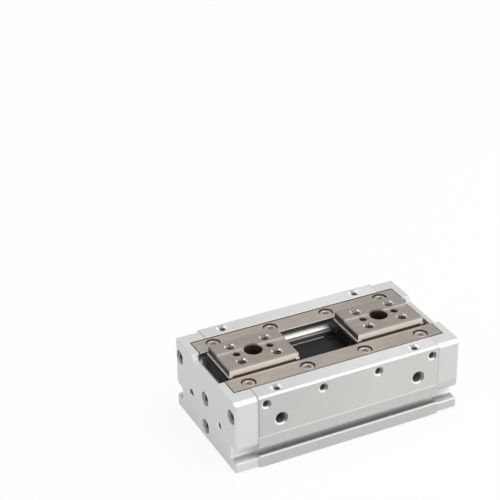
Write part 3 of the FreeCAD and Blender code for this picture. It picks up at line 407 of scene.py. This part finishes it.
def anodised(name, tone, line_strength):
    """Pale satin: tone is its brightness, line_strength how much the extrusion lines show."""
    f = Finish(name)
    cloud = f.noise((34, 46, 46), detail=4)
    lines = f.noise((24, 2300, 2300), detail=2)
    grain = f.noise((5200, 5200, 5200), detail=2)
    specks = f.noise((900, 900, 900), detail=4, seed=3.1).rise(0.66, 0.74)
    drift = (cloud * 0.5 + lines * line_strength + grain * 0.25).rise(0.15, 0.75)
    cap = on_caps(f)
    right_half = f.axes[0].rise(-0.01, 0.01)
    # Painted light on the tops and the left cap, and along the left cap's side.
    painted_light = joined([cap * (0.95 - right_half * 0.7), f.high.rise(30.3, 30.5) * 0.7])
    left_cap_light = cap * (1 - right_half) * f.across.rise(25.2, 25.5)
    # Painted shade on the left part and the foot of the block.
    low_left_shade = joined([f.axes[0].fall(-0.045, 0.02), f.high.fall(13.3, 13.6)])
    groove_highlight, groove_shade = groove_lights(f, cap)
    cone_highlight, cone_shade = cone_lights(f, right_half)

    colour = f.mix(drift, greenish(tone * 0.93), greenish(tone * 1.03))
    colour = f.mix(painted_light, colour, grey(tone * 1.26))
    colour = f.mix(left_cap_light * 0.5, colour, grey(0.95))
    colour = f.mix(low_left_shade * 0.30, colour, grey(tone * 0.66))
    # Painted highlights on edges, cone flanks and the grooves' back walls.
    colour = f.mix(joined([edge_highlights(f, cap), cone_highlight, groove_highlight]) * 0.95, colour, grey(0.99))
    # Painted shade deep in the grooves and on the dark cone flanks.
    colour = f.mix(joined([groove_shade, cone_shade * 0.8]), colour, grey(0.08))
    colour = f.mix(seam_line(f) * 0.45, colour, grey(tone * 0.35))
    colour = f.mix(specks * 0.18, colour, grey(tone * 0.70))
    # Painted shade in the holes, counterbores, rail gaps and the hollow below the cover.
    colour = f.mix(aluminium_shade(f) * 0.9, colour, grey(0.045, 0.03))
    f.set(Base_Color=colour, Metallic=0.28, Roughness=0.40 + cloud * 0.07 + grain * 0.08, IOR=1.6)
    return f.bump(grain * 0.7 + lines * line_strength, 0.16, 0.00004).material


finishes = {"anodised_aluminium": anodised("anodised_aluminium", 0.63, 0.25)}
print("finish:", finishes["anodised_aluminium"].name)

# %% [markdown]
# Rails and fingers share one steel, so its places are picked by height and by distance. Painted shade darkens
# the counterbores in the rails, the holes in the fingers and the line where rail and body meet. The cones of
# the finger threads get two lobes of painted highlight and two of painted shade, as the holes in the body's
# top do.

# %% Painted shade of the steel
RAIL_SIDE = 18.6
RAIL_SCREW_X = (12.0, 36.0)
RAIL_SCREW_Y = 15.1
FINGER_HOLES = ((*FINGER_THREAD_XY, M4_CORE, 32.6), (FINGER_PIN_X, 0.0, 1.5, 32.8),
                (0.0, 0.0, 3.55, 33.0))


def steel_shade(f, from_finger):
    """Painted shade: 1 in the counterbores and the finger's holes, each within a radius of its axis and below
    its edge.
    """
    rail_bores = [distance(f.along - x, f.across - RAIL_SCREW_Y).fall(2.87, 2.93) for x in RAIL_SCREW_X]
    shades = [bore * f.high.fall(30.05, 30.3) for bore in rail_bores]
    for x, y, radius, edge in FINGER_HOLES:
        away = distance(from_finger - x, f.across - y)
        shades += [away.fall(radius + 0.02, radius + 0.12) * f.high.fall(edge - 0.5, edge)]
    shades += [f.across.within(RAIL_SIDE - 0.24, RAIL_SIDE - 0.16, RAIL_SIDE, RAIL_SIDE + 0.1)]
    return joined(shades)


def finger_cone_lights(f, from_finger):
    """Lobes of painted highlight and of painted shade on the cones round the finger threads."""
    along = (from_finger - FINGER_THREAD_XY[0]).size()
    across = (f.across - FINGER_THREAD_XY[1]).size()
    cone = distance(along, across).within(1.60, 1.68, 2.08, 2.14) * f.high.rise(32.5, 32.6)
    lobes = cone * (along - across * 0.8).rise(-0.2, 0.3)
    return lobes, cone - lobes


print("kinds of holes in steel:", len(RAIL_SCREW_X) + len(FINGER_HOLES))

# %% [markdown]
# A finger isn't one grey. Painted light makes its long sides pale; its top is a little browner, and the
# edges round the top browner still with painted shade. Painted shade darkens its end faces and the gap
# beside it. Painted highlights brighten the step of the raised strip and the raceways below, painted shade
# darkens the tabs of the thin plates beside the rails, and the rails' right end gets browner with painted
# shade. The same function makes the finish of rails, fingers and plates, so each place is given by how far
# it is along, across and up.

# %% Painted light and shade, and browner tops, of the steel
def steel_places(f, from_finger):
    """Places on fingers, rails and thin plates: each is 1 on its own faces, as a product of soft steps."""
    on_finger = f.across.fall(9.05, 9.15) * f.high.rise(30.55, 30.65)
    rim = joined([f.across.rise(8.72, 8.80), from_finger.rise(13.55, 13.62)])
    raceway = f.across.within(9.2, 9.4, 11.6, 11.8) * f.high.fall(28.1, 28.3)
    shim_tab = f.across.rise(9.02, 9.08) * f.high.within(28.5, 28.8, 30.05, 30.2)
    return {
        # Browner tops.
        "top": on_finger * f.high.rise(32.9, 33.05) * from_finger.fall(13.5, 13.6),
        # Browner edges with painted shade.
        "edge": on_finger * f.high.rise(32.5, 32.6) * rim,
        # Painted light on the long sides.
        "side": on_finger * f.across.rise(8.90, 8.95) * f.high.fall(32.75, 32.85),
        # Painted shade on the end faces and in the gap beside a finger.
        "end": on_finger * from_finger.rise(14.02, 14.08),
        "gap": f.across.within(8.90, 8.95, 9.1, 9.2) * f.high.fall(29.9, 30.5),
        # Painted highlights on the strip's step and on the raceways.
        "strip_step": f.high.rise(33.12, 33.18) * f.across.within(1.85, 1.92, 2.02, 2.08),
        "raceway": raceway,
        # Painted shade on the plates' tabs and on the rails' right end.
        "shim_tab": shim_tab * from_finger.rise(12.8, 12.9) * (1 - raceway),
        "right_end": f.axes[0].rise(0.0, 0.045) * (1 - on_finger),
    }


print("a finger's middle:", FINGER_X)

# %% [markdown]
# Rails and fingers are hardened steel, surface ground. A grinding wheel leaves fine parallel scratches
# along the stroke, and the thin protective plating gives a warm grey that drifts between brownish and cool.
# Stretching noise along X gives the scratches; two slow noises give the drift and the finger marks in the
# gloss. The places from the last two cells are then laid over it.

# %% Ground steel
def ground_steel(name, warm, cool, rough, scratch, metallic=0.74):
    """Warm to cool grey with scratches along X: rough is its gloss, scratch the strength of its relief."""
    f = Finish(name)
    scratches = f.noise((70, 5200, 5200), detail=3, roughness=0.7)
    drift = f.noise((42, 90, 90), detail=3, seed=5.0)
    marks = f.noise((160, 210, 210), detail=5, seed=9.0).rise(0.45, 0.70)
    pits = f.noise((1500, 1500, 1500), detail=3, seed=2.0).rise(0.68, 0.76)
    broad = f.noise((26, 1500, 1500), detail=4, roughness=0.7, seed=4.0)

    from_finger = (f.along - FINGER_X).size()
    places = steel_places(f, from_finger)
    cone_highlight, cone_shade = finger_cone_lights(f, from_finger)
    # Browner tops, and painted shade on the finger edges and the rails' right end.
    browner_and_shade = joined([places["top"] * 0.30, places["edge"] * 0.55, places["right_end"] * 0.25])
    # bright is painted highlight on the strip's step, the raceways and the cone lobes.
    bright = joined([places["strip_step"], places["raceway"] * 0.8, cone_highlight])
    # dark is painted shade in holes and gaps, on end faces and on the dark cone lobes.
    dark = joined([steel_shade(f, from_finger) * 0.88, places["gap"] * 0.75, places["end"] * 0.86,
                   cone_shade * 0.6])

    colour = f.mix(drift.rise(0.30, 0.72), warm, cool)
    colour = f.mix(scratches.rise(0.35, 0.80) * 0.26, colour, grey(0.22, 0.08))
    colour = f.mix(broad.rise(0.46, 0.70) * 0.48, colour, grey(0.24, 0.09))
    colour = f.mix(pits * 0.35, colour, grey(0.12, 0.05))
    colour = f.mix(browner_and_shade, colour, grey(0.20, 0.09))
    # Painted light on the fingers' long sides.
    colour = f.mix(places["side"] * 0.9, colour, grey(0.97, 0.10))
    colour = f.mix(bright * 0.85, colour, grey(0.97, 0.02))
    # Painted shade on the plates' tabs beside the rails.
    colour = f.mix(places["shim_tab"] * 0.8, colour, grey(0.10, 0.05))
    colour = f.mix(dark, colour, grey(0.035, 0.10))
    blunt = joined([places["edge"], places["side"]])
    f.set(Base_Color=colour, Metallic=metallic - places["side"] * 0.5,
          Roughness=rough + scratches * 0.16 + marks * 0.10 + blunt * 0.25)
    return f.bump(scratches, scratch, 0.00003).material


finishes["ground_steel"] = ground_steel("ground_steel", grey(0.55, 0.15), grey(0.56, 0.10), 0.26, 0.22)
finishes["gear_steel"] = ground_steel("gear_steel", grey(0.34, 0.05), grey(0.40, 0.02), 0.30, 0.30)
finishes["bright_steel"] = ground_steel("bright_steel", grey(0.88, 0.06), grey(0.94, 0.04), 0.16, 0.08, 0.25)
print("finishes:", len(finishes))

# %% [markdown]
# The pistons and the round cover are turned aluminium. A turned face is covered with circular tool marks,
# which are a sine of the distance from the axis. Here they're rings round the vertical axis, where the
# cover sits. The bright screws take the same finish in a warmer grey. The cap screws stand in the shade of
# their counterbores, so this finish darkens near the ends of the part, where they are.

# %% Turned aluminium and screw steel
CAP_SCREW_SHADE = (43.0, 43.5)


def turned(name, low, high, waves, rough, warmth):
    """Rings round the vertical axis: the sine of the distance from it times a number of waves a metre."""
    f = Finish(name)
    rings = (distance(f.axes[0], f.axes[1]) * waves).maths("SINE")
    cloud = f.noise((60, 60, 60), detail=4, seed=1.0)
    fine = f.noise((3200, 3200, 3200), detail=2, seed=4.0)
    colour = f.mix((rings * 0.25 + cloud * 0.6).rise(0.0, 0.8), grey(low, warmth), grey(high, warmth))
    colour = f.mix(f.along.rise(*CAP_SCREW_SHADE) * 0.7, colour, grey(0.12))
    f.set(Base_Color=colour, Metallic=0.9, Roughness=rough + fine * 0.12)
    return f.bump(rings * 0.5 + fine * 0.5, 0.18, 0.00003).material


finishes["machined_aluminium"] = turned("machined_aluminium", 0.60, 0.74, 14000.0, 0.26, 0.0)
finishes["screw_steel"] = turned("screw_steel", 0.50, 0.66, 9000.0, 0.34, 0.10)
print("finishes:", len(finishes))

# %% [markdown]
# The stoppers and the channel cover are blackened steel. The oxide is nearly black and slightly glossy,
# with a faint cloudiness and a few bright rubs where sliding has polished it. The cover's raised pad has a
# painted highlight along each edge, a fine bright line that is stronger on the far side.

# %% Black oxide
def blackened(name, tone, rough):
    """Nearly black: tone is the oxide's brightness, rough its gloss, and the pad's edges get painted
    highlight bands.
    """
    f = Finish(name)
    cloud = f.noise((120, 240, 240), detail=4, seed=7.0)
    rubs = f.noise((90, 2600, 2600), detail=2, seed=8.0).rise(0.70, 0.82)
    fine = f.noise((2600, 2600, 2600), detail=3, seed=6.0)
    far_side = f.axes[1].rise(-0.001, 0.001)
    pad_highlight = (f.across + far_side * 0.25).rise(7.28, 7.36) * f.across.fall(7.54, 7.60)
    pad_highlight = pad_highlight * f.high.within(24.70, 24.76, 25.05, 25.10)
    colour = f.mix(cloud.rise(0.25, 0.75), grey(tone * 0.7), grey(tone * 1.5))
    colour = f.mix(rubs * 0.25, colour, grey(0.25))
    # Painted highlight along the pad's edges, stronger on the far side.
    colour = f.mix(pad_highlight * (0.6 + far_side * 0.35), colour, grey(0.92))
    f.set(Base_Color=colour, Metallic=0.35, Roughness=rough + cloud * 0.14 + fine * 0.08)
    return f.bump(fine, 0.12, 0.00003).material


finishes["black_plate"] = blackened("black_plate", 0.011, 0.24)
finishes["black_screw"] = blackened("black_screw", 0.045, 0.26)
print("finishes:", len(finishes))

# %% [markdown]
# Seals and bumpers are rubber, the wear rings a filled plastic, and the magnets a dull sintered ring. All
# of them lie inside. They're matt and a little uneven, so one function with a colour and a grain makes them
# all.

# %% Rubber and plastics
def moulded(name, colour, rough, grain_depth):
    """Rubber and filled plastic: a matt colour with a moulded grain."""
    f = Finish(name)
    cloud = f.noise((150, 150, 150), detail=4, seed=2.5)
    grain = f.noise((2400, 2400, 2400), detail=3, seed=1.5)
    darker = tuple(c * 0.72 for c in colour[:3]) + (1.0,)
    mixed = f.mix((cloud * 0.7 + grain * 0.3).rise(0.3, 0.7), darker, colour)
    f.set(Base_Color=mixed, Roughness=rough + grain * 0.15)
    return f.bump(grain, 0.25, grain_depth).material


finishes["rubber"] = moulded("rubber", grey(0.030), 0.55, 0.00004)
finishes["wear_plastic"] = moulded("wear_plastic", (0.45, 0.30, 0.14, 1.0), 0.45, 0.00003)
finishes["magnet"] = moulded("magnet", grey(0.09), 0.50, 0.00003)
print("finishes:", ", ".join(finishes))

# %% [markdown]
# Every CAD node now takes the finish of its own slot. Real edges are never perfectly sharp: a tiny round
# catches the light and draws the bright line seen along each edge. A Bevel modifier does that, but CAD
# meshes are loose triangles, so a Weld modifier joins their corners first.

# %% Dress the CAD nodes
EDGE_ROUND = {"body": 0.14, "end_cap_left": 0.16, "end_cap_right": 0.16, "finger_left": 0.08,
              "finger_right": 0.08, "end_shims_left": 0.08, "end_shims_right": 0.08}

for entry in frame["record"]["subparts"]:
    node = frame["nodes"][entry["node"]]
    for slot in node.material_slots:
        slot.material = finishes[entry["material_slot"]]
    if entry["node"] in EDGE_ROUND:
        node.modifiers.new("joined_corners", "WELD").merge_threshold = 1e-6
        edges = node.modifiers.new("broken_edges", "BEVEL")
        edges.width = EDGE_ROUND[entry["node"]] * MM
        edges.segments = 2
        edges.limit_method = "ANGLE"
        edges.angle_limit = math.radians(38)
        edges.harden_normals = True

# %% [markdown]
# New pieces are closed surfaces worked out as whole arrays. Two helpers are enough: one puts points and
# faces into a mesh that rides on a body, and one turns a stack of rings into a solid, with a single point
# at each end.

# %% Mesh helpers
def make_piece(name, parts, body, slot):
    """Joins (points, faces) pairs, in millimetres, into one piece that moves with a body."""
    mesh = bpy.data.meshes.new(name)
    starts = np.cumsum([0] + [len(group) for group, faces in parts[:-1]])
    points = np.concatenate([group for group, faces in parts]) * MM
    faces = [[i + int(start) for i in face] for part, start in zip(parts, starts) for face in part[1]]
    mesh.from_pydata(points.tolist(), [], faces)
    shell = bmesh.new()
    shell.from_mesh(mesh)
    bmesh.ops.recalc_face_normals(shell, faces=shell.faces)
    shell.to_mesh(mesh)
    shell.free()
    mesh.shade_smooth()
    mesh.set_sharp_from_angle(angle=math.radians(32))
    mesh.materials.append(finishes[slot])
    piece = bpy.data.objects.new(name, mesh)
    bpy.context.scene.collection.objects.link(piece)
    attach(piece, body)
    print(name, "faces:", len(mesh.polygons))
    return piece


def aimed(points, place, direction):
    """Turns local points so that their Z runs along a direction, and moves them to a place."""
    w = np.array(direction, float)
    u = np.cross((0.0, 1.0, 0.0) if abs(w[1]) < 0.9 else (1.0, 0.0, 0.0), w)
    u /= np.linalg.norm(u)
    return points @ np.array([u, np.cross(w, u), w]) + np.array(place, float)


def grid_faces(rows, around):
    """The quads of a tube of rings: each point joins the next one round and the ring above."""
    i, j = np.meshgrid(np.arange(rows - 1), np.arange(around), indexing="ij")
    k = (j + 1) % around
    quads = np.stack([i * around + j, i * around + k, (i + 1) * around + k, (i + 1) * around + j], axis=-1)
    return quads.reshape(-1, 4).tolist()


def ring_solid(radii, heights):
    """Stacked rings: point (i, j) is at angle 2 pi j / n, distance radii[i, j] and height heights[i]."""
    rows, around = radii.shape
    angle = np.linspace(0, 2 * np.pi, around, endpoint=False)
    x, y = radii * np.cos(angle), radii * np.sin(angle)
    z = np.repeat(np.array(heights)[:, None], around, axis=1)
    ends = np.array([[0, 0, heights[0]], [0, 0, heights[-1]]])
    points = np.concatenate([np.stack([x, y, z], axis=-1).reshape(-1, 3), ends])
    j = np.arange(around)
    k = (j + 1) % around
    first = np.stack([j, k, np.full(around, rows * around)], axis=-1)
    top = (rows - 1) * around
    last = np.stack([top + j, top + k, np.full(around, rows * around + 1)], axis=-1)
    return points, grid_faces(rows, around) + first.tolist() + last.tolist()


print("quads in a tube of 3 rings of 4:", len(grid_faces(3, 4)))

# %% [markdown]
# A socket screw is one closed surface. Its profile starts at the middle of the socket's floor, climbs the
# hexagon, crosses the rounded head and runs down the shank. Every ring is a circle or a hexagon, or
# something between, so one number per ring, how hexagonal it is, turns the same grid into the whole screw.
# The head's side is knurled.

# %% Socket screws
AROUND = 48


def socket_screw(head, height, socket, depth, shank, length, knurl=0.04):
    """Rings of radius, height, hexagon and knurl; a hexagon's radius is cos 30 / cos (angle in 60 - 30)."""
    angle = np.linspace(0, 2 * np.pi, AROUND, endpoint=False)
    hexagon = math.cos(math.pi / 6) / np.cos(angle % (math.pi / 3) - math.pi / 6)
    ridges = np.cos(angle * AROUND / 2)
    grip = head - knurl
    rings = [
        (socket * 0.3, height - depth - socket * 0.2, 0, 0), (socket, height - depth, 1, 0),
        (socket, height - 0.14, 1, 0), (socket * 1.13, height, 0.3, 0),
        (head * 0.72, height, 0, 0), (head * 0.76, height - 0.03, 0, 0),
        (head - 0.30, height - 0.03, 0, 0), (head - 0.09, height - 0.10, 0, 0),
        (grip, height - 0.28, 0, 0), (grip, height - 0.40, 0, 1), (grip, 0.25, 0, 1), (grip, 0.12, 0, 0),
        (head - 0.15, 0.0, 0, 0), (shank, 0.0, 0, 0),
        (shank, -length + shank * 0.3, 0, 0), (shank * 0.7, -length, 0, 0),
    ]
    radii = np.array([r * (1 - h + h * hexagon) + k * knurl * ridges for r, z, h, k in rings])
    return ring_solid(radii, [z for r, z, h, k in rings])


def screw_set(name, shape, places, body, slot):
    """Copies of one screw: each place has its seat and the way its head faces."""
    points, faces = shape
    return make_piece(name, [(aimed(points, seat, way), faces) for seat, way in places], body, slot)


M3_HEAD = socket_screw(head=2.5, height=2.5, socket=1.3, depth=1.25, shank=1.5, length=5.5)
print("points of a rail screw:", len(M3_HEAD[0]))

# %% [markdown]
# The rails have four screws each, in counterbores. The caps have four screws at each end, whose taller
# heads come close to the end face. The tiny black ones hold the stopper plates at both ends of each finger.
# Each set replaces the plain screws of the CAD model.

# %% Screws of rails, caps and stoppers
BOTH = (-1, 1)
CORNERS = [(a, b) for a in BOTH for b in BOTH]
UP = (0, 0, 1)
RAIL_SEAT_Z = 27.5
CAP_SEAT_X = 42.25
STOPPER_SEAT_X = 14.85
STOPPER_SCREW_YZ = (5.4, 27.6)

rail_places = [((x * a, RAIL_SCREW_Y * b, RAIL_SEAT_Z), UP) for x in RAIL_SCREW_X for a, b in CORNERS]
rail_screws = screw_set("rail_socket_screws", M3_HEAD, rail_places, "housing", "screw_steel")
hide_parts("rail_screws")

cap_head = socket_screw(head=2.6, height=3.9, socket=1.4, depth=1.5, shank=1.5, length=10.25)
cap_spots = [*CAP_SCREW_YZ, (-CAP_SCREW_YZ[0][0], CAP_SCREW_YZ[0][1])]
cap_places = [((CAP_SEAT_X * a, y, z), (a, 0, 0)) for a in BOTH for y, z in cap_spots]
cap_screws = screw_set("cap_socket_screws", cap_head, cap_places, "housing", "screw_steel")
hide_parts("cap_screws")

stopper_head = socket_screw(head=1.2, height=0.6, socket=0.6, depth=0.42, shank=0.8, length=2.4, knurl=0.0)
screw_y, screw_z = STOPPER_SCREW_YZ
for end, side in (("left", -1), ("right", 1)):
    places = [((FINGER_X * side + STOPPER_SEAT_X * a, screw_y * b, screw_z), (a, 0, 0)) for a, b in CORNERS]
    small = screw_set("stopper_socket_screws_" + end, stopper_head, places, end + "_jaw", "black_screw")
    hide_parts("stopper_screws_" + end)

# %% [markdown]
# The channel cover is held by countersunk screws with a cross recess. They're the same kind of ring solid:
# the recess is a ring whose radius swings four times round the head.

# %% Countersunk screws
COVER_SCREW_XY = (33.0, 6.0)
COVER_TOP = 25.0


def cross_screw(head, sink, shank, length):
    """A cone-headed screw; the recess's radius is r (0.50 + 0.50 |cos 2a| to the fourth)."""
    angle = np.linspace(0, 2 * np.pi, AROUND, endpoint=False)
    cross = 0.50 + 0.50 * np.abs(np.cos(2 * angle)) ** 4
    plain = np.ones(AROUND)
    recess = head * 0.62
    rings = [
        (recess * 0.5 * cross, -0.55), (recess * 0.85 * cross, -0.45), (recess * cross, 0.0),
        ((head - 0.05) * plain, 0.0), (head * plain, -0.06),
        (shank * plain, -sink), (shank * plain, -length + 0.3), (shank * 0.7 * plain, -length),
    ]
    return ring_solid(np.array([radius for radius, z in rings]), [z for radius, z in rings])


cover_head = cross_screw(head=1.7, sink=0.9, shank=1.0, length=3.9)
cover_places = [((COVER_SCREW_XY[0] * a, COVER_SCREW_XY[1] * b, COVER_TOP), UP) for a, b in CORNERS]
cover_screws = screw_set("cover_cross_screws", cover_head, cover_places, "housing", "screw_steel")
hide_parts("cover_screws")

# %% [markdown]
# Tapped holes show their threads as fine dark and bright turns. A bump could fake them, but the light falls
# into these holes from one side, so real turns look better. Each thread is a ridge with three corners that
# climbs the wall as a helix: its height grows with its angle, and its crest sinks into the wall at both
# ends.

# %% Thread turns
STEPS_A_TURN = 22
RUN_OUT = 2.5


def thread_turns(core, pitch, depth, start, end):
    """Angle t, start + pitch t / 2 pi deep; its corners lie at the wall, at core - depth and at the wall."""
    turns = (end - start) / pitch
    t = np.linspace(0, 2 * np.pi * turns, int(turns * STEPS_A_TURN) + 1)
    fade = np.clip(np.minimum(t, t[-1] - t) / RUN_OUT, 0.05, 1.0)
    wall = np.full_like(t, core + 0.03)
    radii = np.stack([wall, core - depth * fade, wall], axis=1)
    lift = np.array([-0.42, 0.0, 0.42]) * pitch
    heights = -(start + pitch * t / (2 * np.pi))[:, None] + lift
    x, y = radii * np.cos(t)[:, None], radii * np.sin(t)[:, None]
    points = np.stack([x, y, heights], axis=-1).reshape(-1, 3)
    last = 3 * (len(t) - 1)
    return points, grid_faces(len(t), 3) + [[0, 1, 2], [last, last + 1, last + 2]]


M3 = thread_turns(core=M3_CORE, pitch=0.50, depth=0.16, start=0.75, end=4.4)
M4 = thread_turns(core=M4_CORE, pitch=0.70, depth=0.22, start=0.75, end=4.3)
M5 = thread_turns(core=M5_CORE, pitch=0.80, depth=0.25, start=0.85, end=4.8)
print("points of an M3 thread:", len(M3[0]))

# %% [markdown]
# Every thread has a mouth and a direction that points out of its hole. The body's threads are joined into
# one piece, and each finger's four into another, so that they move with their finger. Those on the raised
# strip start half a millimetre higher.

# %% Threads in the holes
housing_threads = [
    *((M3, (x * a, SIDE_FACE * b, SIDE_ROW_Z), (0, b, 0)) for x in SIDE_ROW_X for a, b in CORNERS),
    *((M3, (TOP_XY[0] * a, TOP_XY[1] * b, TOP_FACE), UP) for a, b in CORNERS),
    *((M5, (PORT_XZ[0] * a, -SIDE_FACE, PORT_XZ[1]), (0, -1, 0)) for a in BOTH),
    *((M3, (END_FACE * a, END_YZ[0] * b, END_YZ[1]), (a, 0, 0)) for a, b in CORNERS),
    *((M4, (BASE_XY[0] * a, BASE_XY[1] * b, 0.0), (0, 0, -1)) for a, b in CORNERS),
]
turns = [(aimed(points, mouth, out), faces) for (points, faces), mouth, out in housing_threads]
make_piece("housing_thread_turns", turns, "housing", "anodised_aluminium")

thread_x, thread_y = FINGER_THREAD_XY
tops = {-1: FINGER_TOP, 1: STRIP_TOP}
for end, side in (("left", -1), ("right", 1)):
    mouths = [(FINGER_X * side + thread_x * a, thread_y * b, tops[b]) for a, b in CORNERS]
    turns = [(aimed(M4[0], mouth, UP), M4[1]) for mouth in mouths]
    make_piece("finger_thread_turns_" + end, turns, end + "_jaw", "ground_steel")

# %% [markdown]
# The gripper stands on a plain white table. A bright table would need so much light that the aluminium
# clips, so the table's white is written for the camera and, weaker, for reflections: Light Path tells those
# rays apart. An eighth of the shader stays ordinary, so that a soft shadow remains at the foot. The table
# lies a hair below the part, because two faces at the same height would flicker through each other.

# %% Table
TABLE_DROP = 0.00002


def make_table(half_size, white, kept_shadow):
    """A square with half_size metres to each side, which glows white except for its share of kept shadow."""
    mesh = bpy.data.meshes.new("table")
    corners = [(x * half_size, y * half_size, -TABLE_DROP) for x, y in ((-1, -1), (1, -1), (1, 1), (-1, 1))]
    mesh.from_pydata(corners, [], [[0, 1, 2, 3]])
    table = bpy.data.objects.new("table", mesh)
    bpy.context.scene.collection.objects.link(table)
    f = Finish("table_white")
    seen = joined([f.node("ShaderNodeLightPath", out="Is Camera Ray"),
                   f.node("ShaderNodeLightPath", out="Is Glossy Ray") * 0.75])
    glow = f.node("ShaderNodeEmission", values={"Color": grey(white), "Strength": 1.0})
    matt = f.node("ShaderNodeBsdfDiffuse", values={"Color": grey(0.86)})
    surface = f.node("ShaderNodeMixShader", values=[seen * (1 - kept_shadow), matt, glow])
    f.tree.links.new(surface.socket, f.tree.nodes["Material Output"].inputs["Surface"])
    mesh.materials.append(f.material)
    return table


table = make_table(half_size=3.0, white=1.0, kept_shadow=0.12)
print("table:", table.name)

# %% [markdown]
# Product pictures like this one are lit with large softboxes. The strongest hangs above, a little to the
# right, and brightens the tops. One in front draws the white line along the edges, a cool one on the left
# lights the end face, and a weak one low on the right keeps that side open. Area lamps of that size give
# soft shadows, and the world gives the even rest.

# %% Lamps and world
AIM = (0.0, 0.0, 0.02)
WORLD_GREY = 0.70
WORLD_STRENGTH = 0.70


def softbox(name, place, width, power, colour=(1.0, 1.0, 1.0)):
    """A square lamp that faces the part; its light falls with the square of the distance."""
    data = bpy.data.lights.new(name, "AREA")
    data.size = width
    data.energy = power
    data.color = colour
    lamp = bpy.data.objects.new(name, data)
    lamp.location = place
    lamp.rotation_euler = (Vector(AIM) - Vector(place)).to_track_quat("-Z", "Y").to_euler()
    bpy.context.scene.collection.objects.link(lamp)
    return lamp


softbox("softbox_front", (0.35, -0.75, 0.75), width=1.20, power=4.6)
softbox("softbox_left", (-0.95, -0.10, 0.65), width=0.75, power=2.4, colour=(0.92, 0.96, 1.0))
softbox("softbox_right", (1.00, 0.10, 0.28), width=0.40, power=1.2)
softbox("softbox_top", (0.42, -0.02, 1.05), width=0.95, power=5.3)

world = bpy.data.worlds.new("studio_air")
world.use_nodes = True
bpy.context.scene.world = world
world.node_tree.nodes["Background"].inputs["Color"].default_value = grey(WORLD_GREY)
world.node_tree.nodes["Background"].inputs["Strength"].default_value = WORLD_STRENGTH
bpy.context.scene.view_settings.view_transform = "Standard"
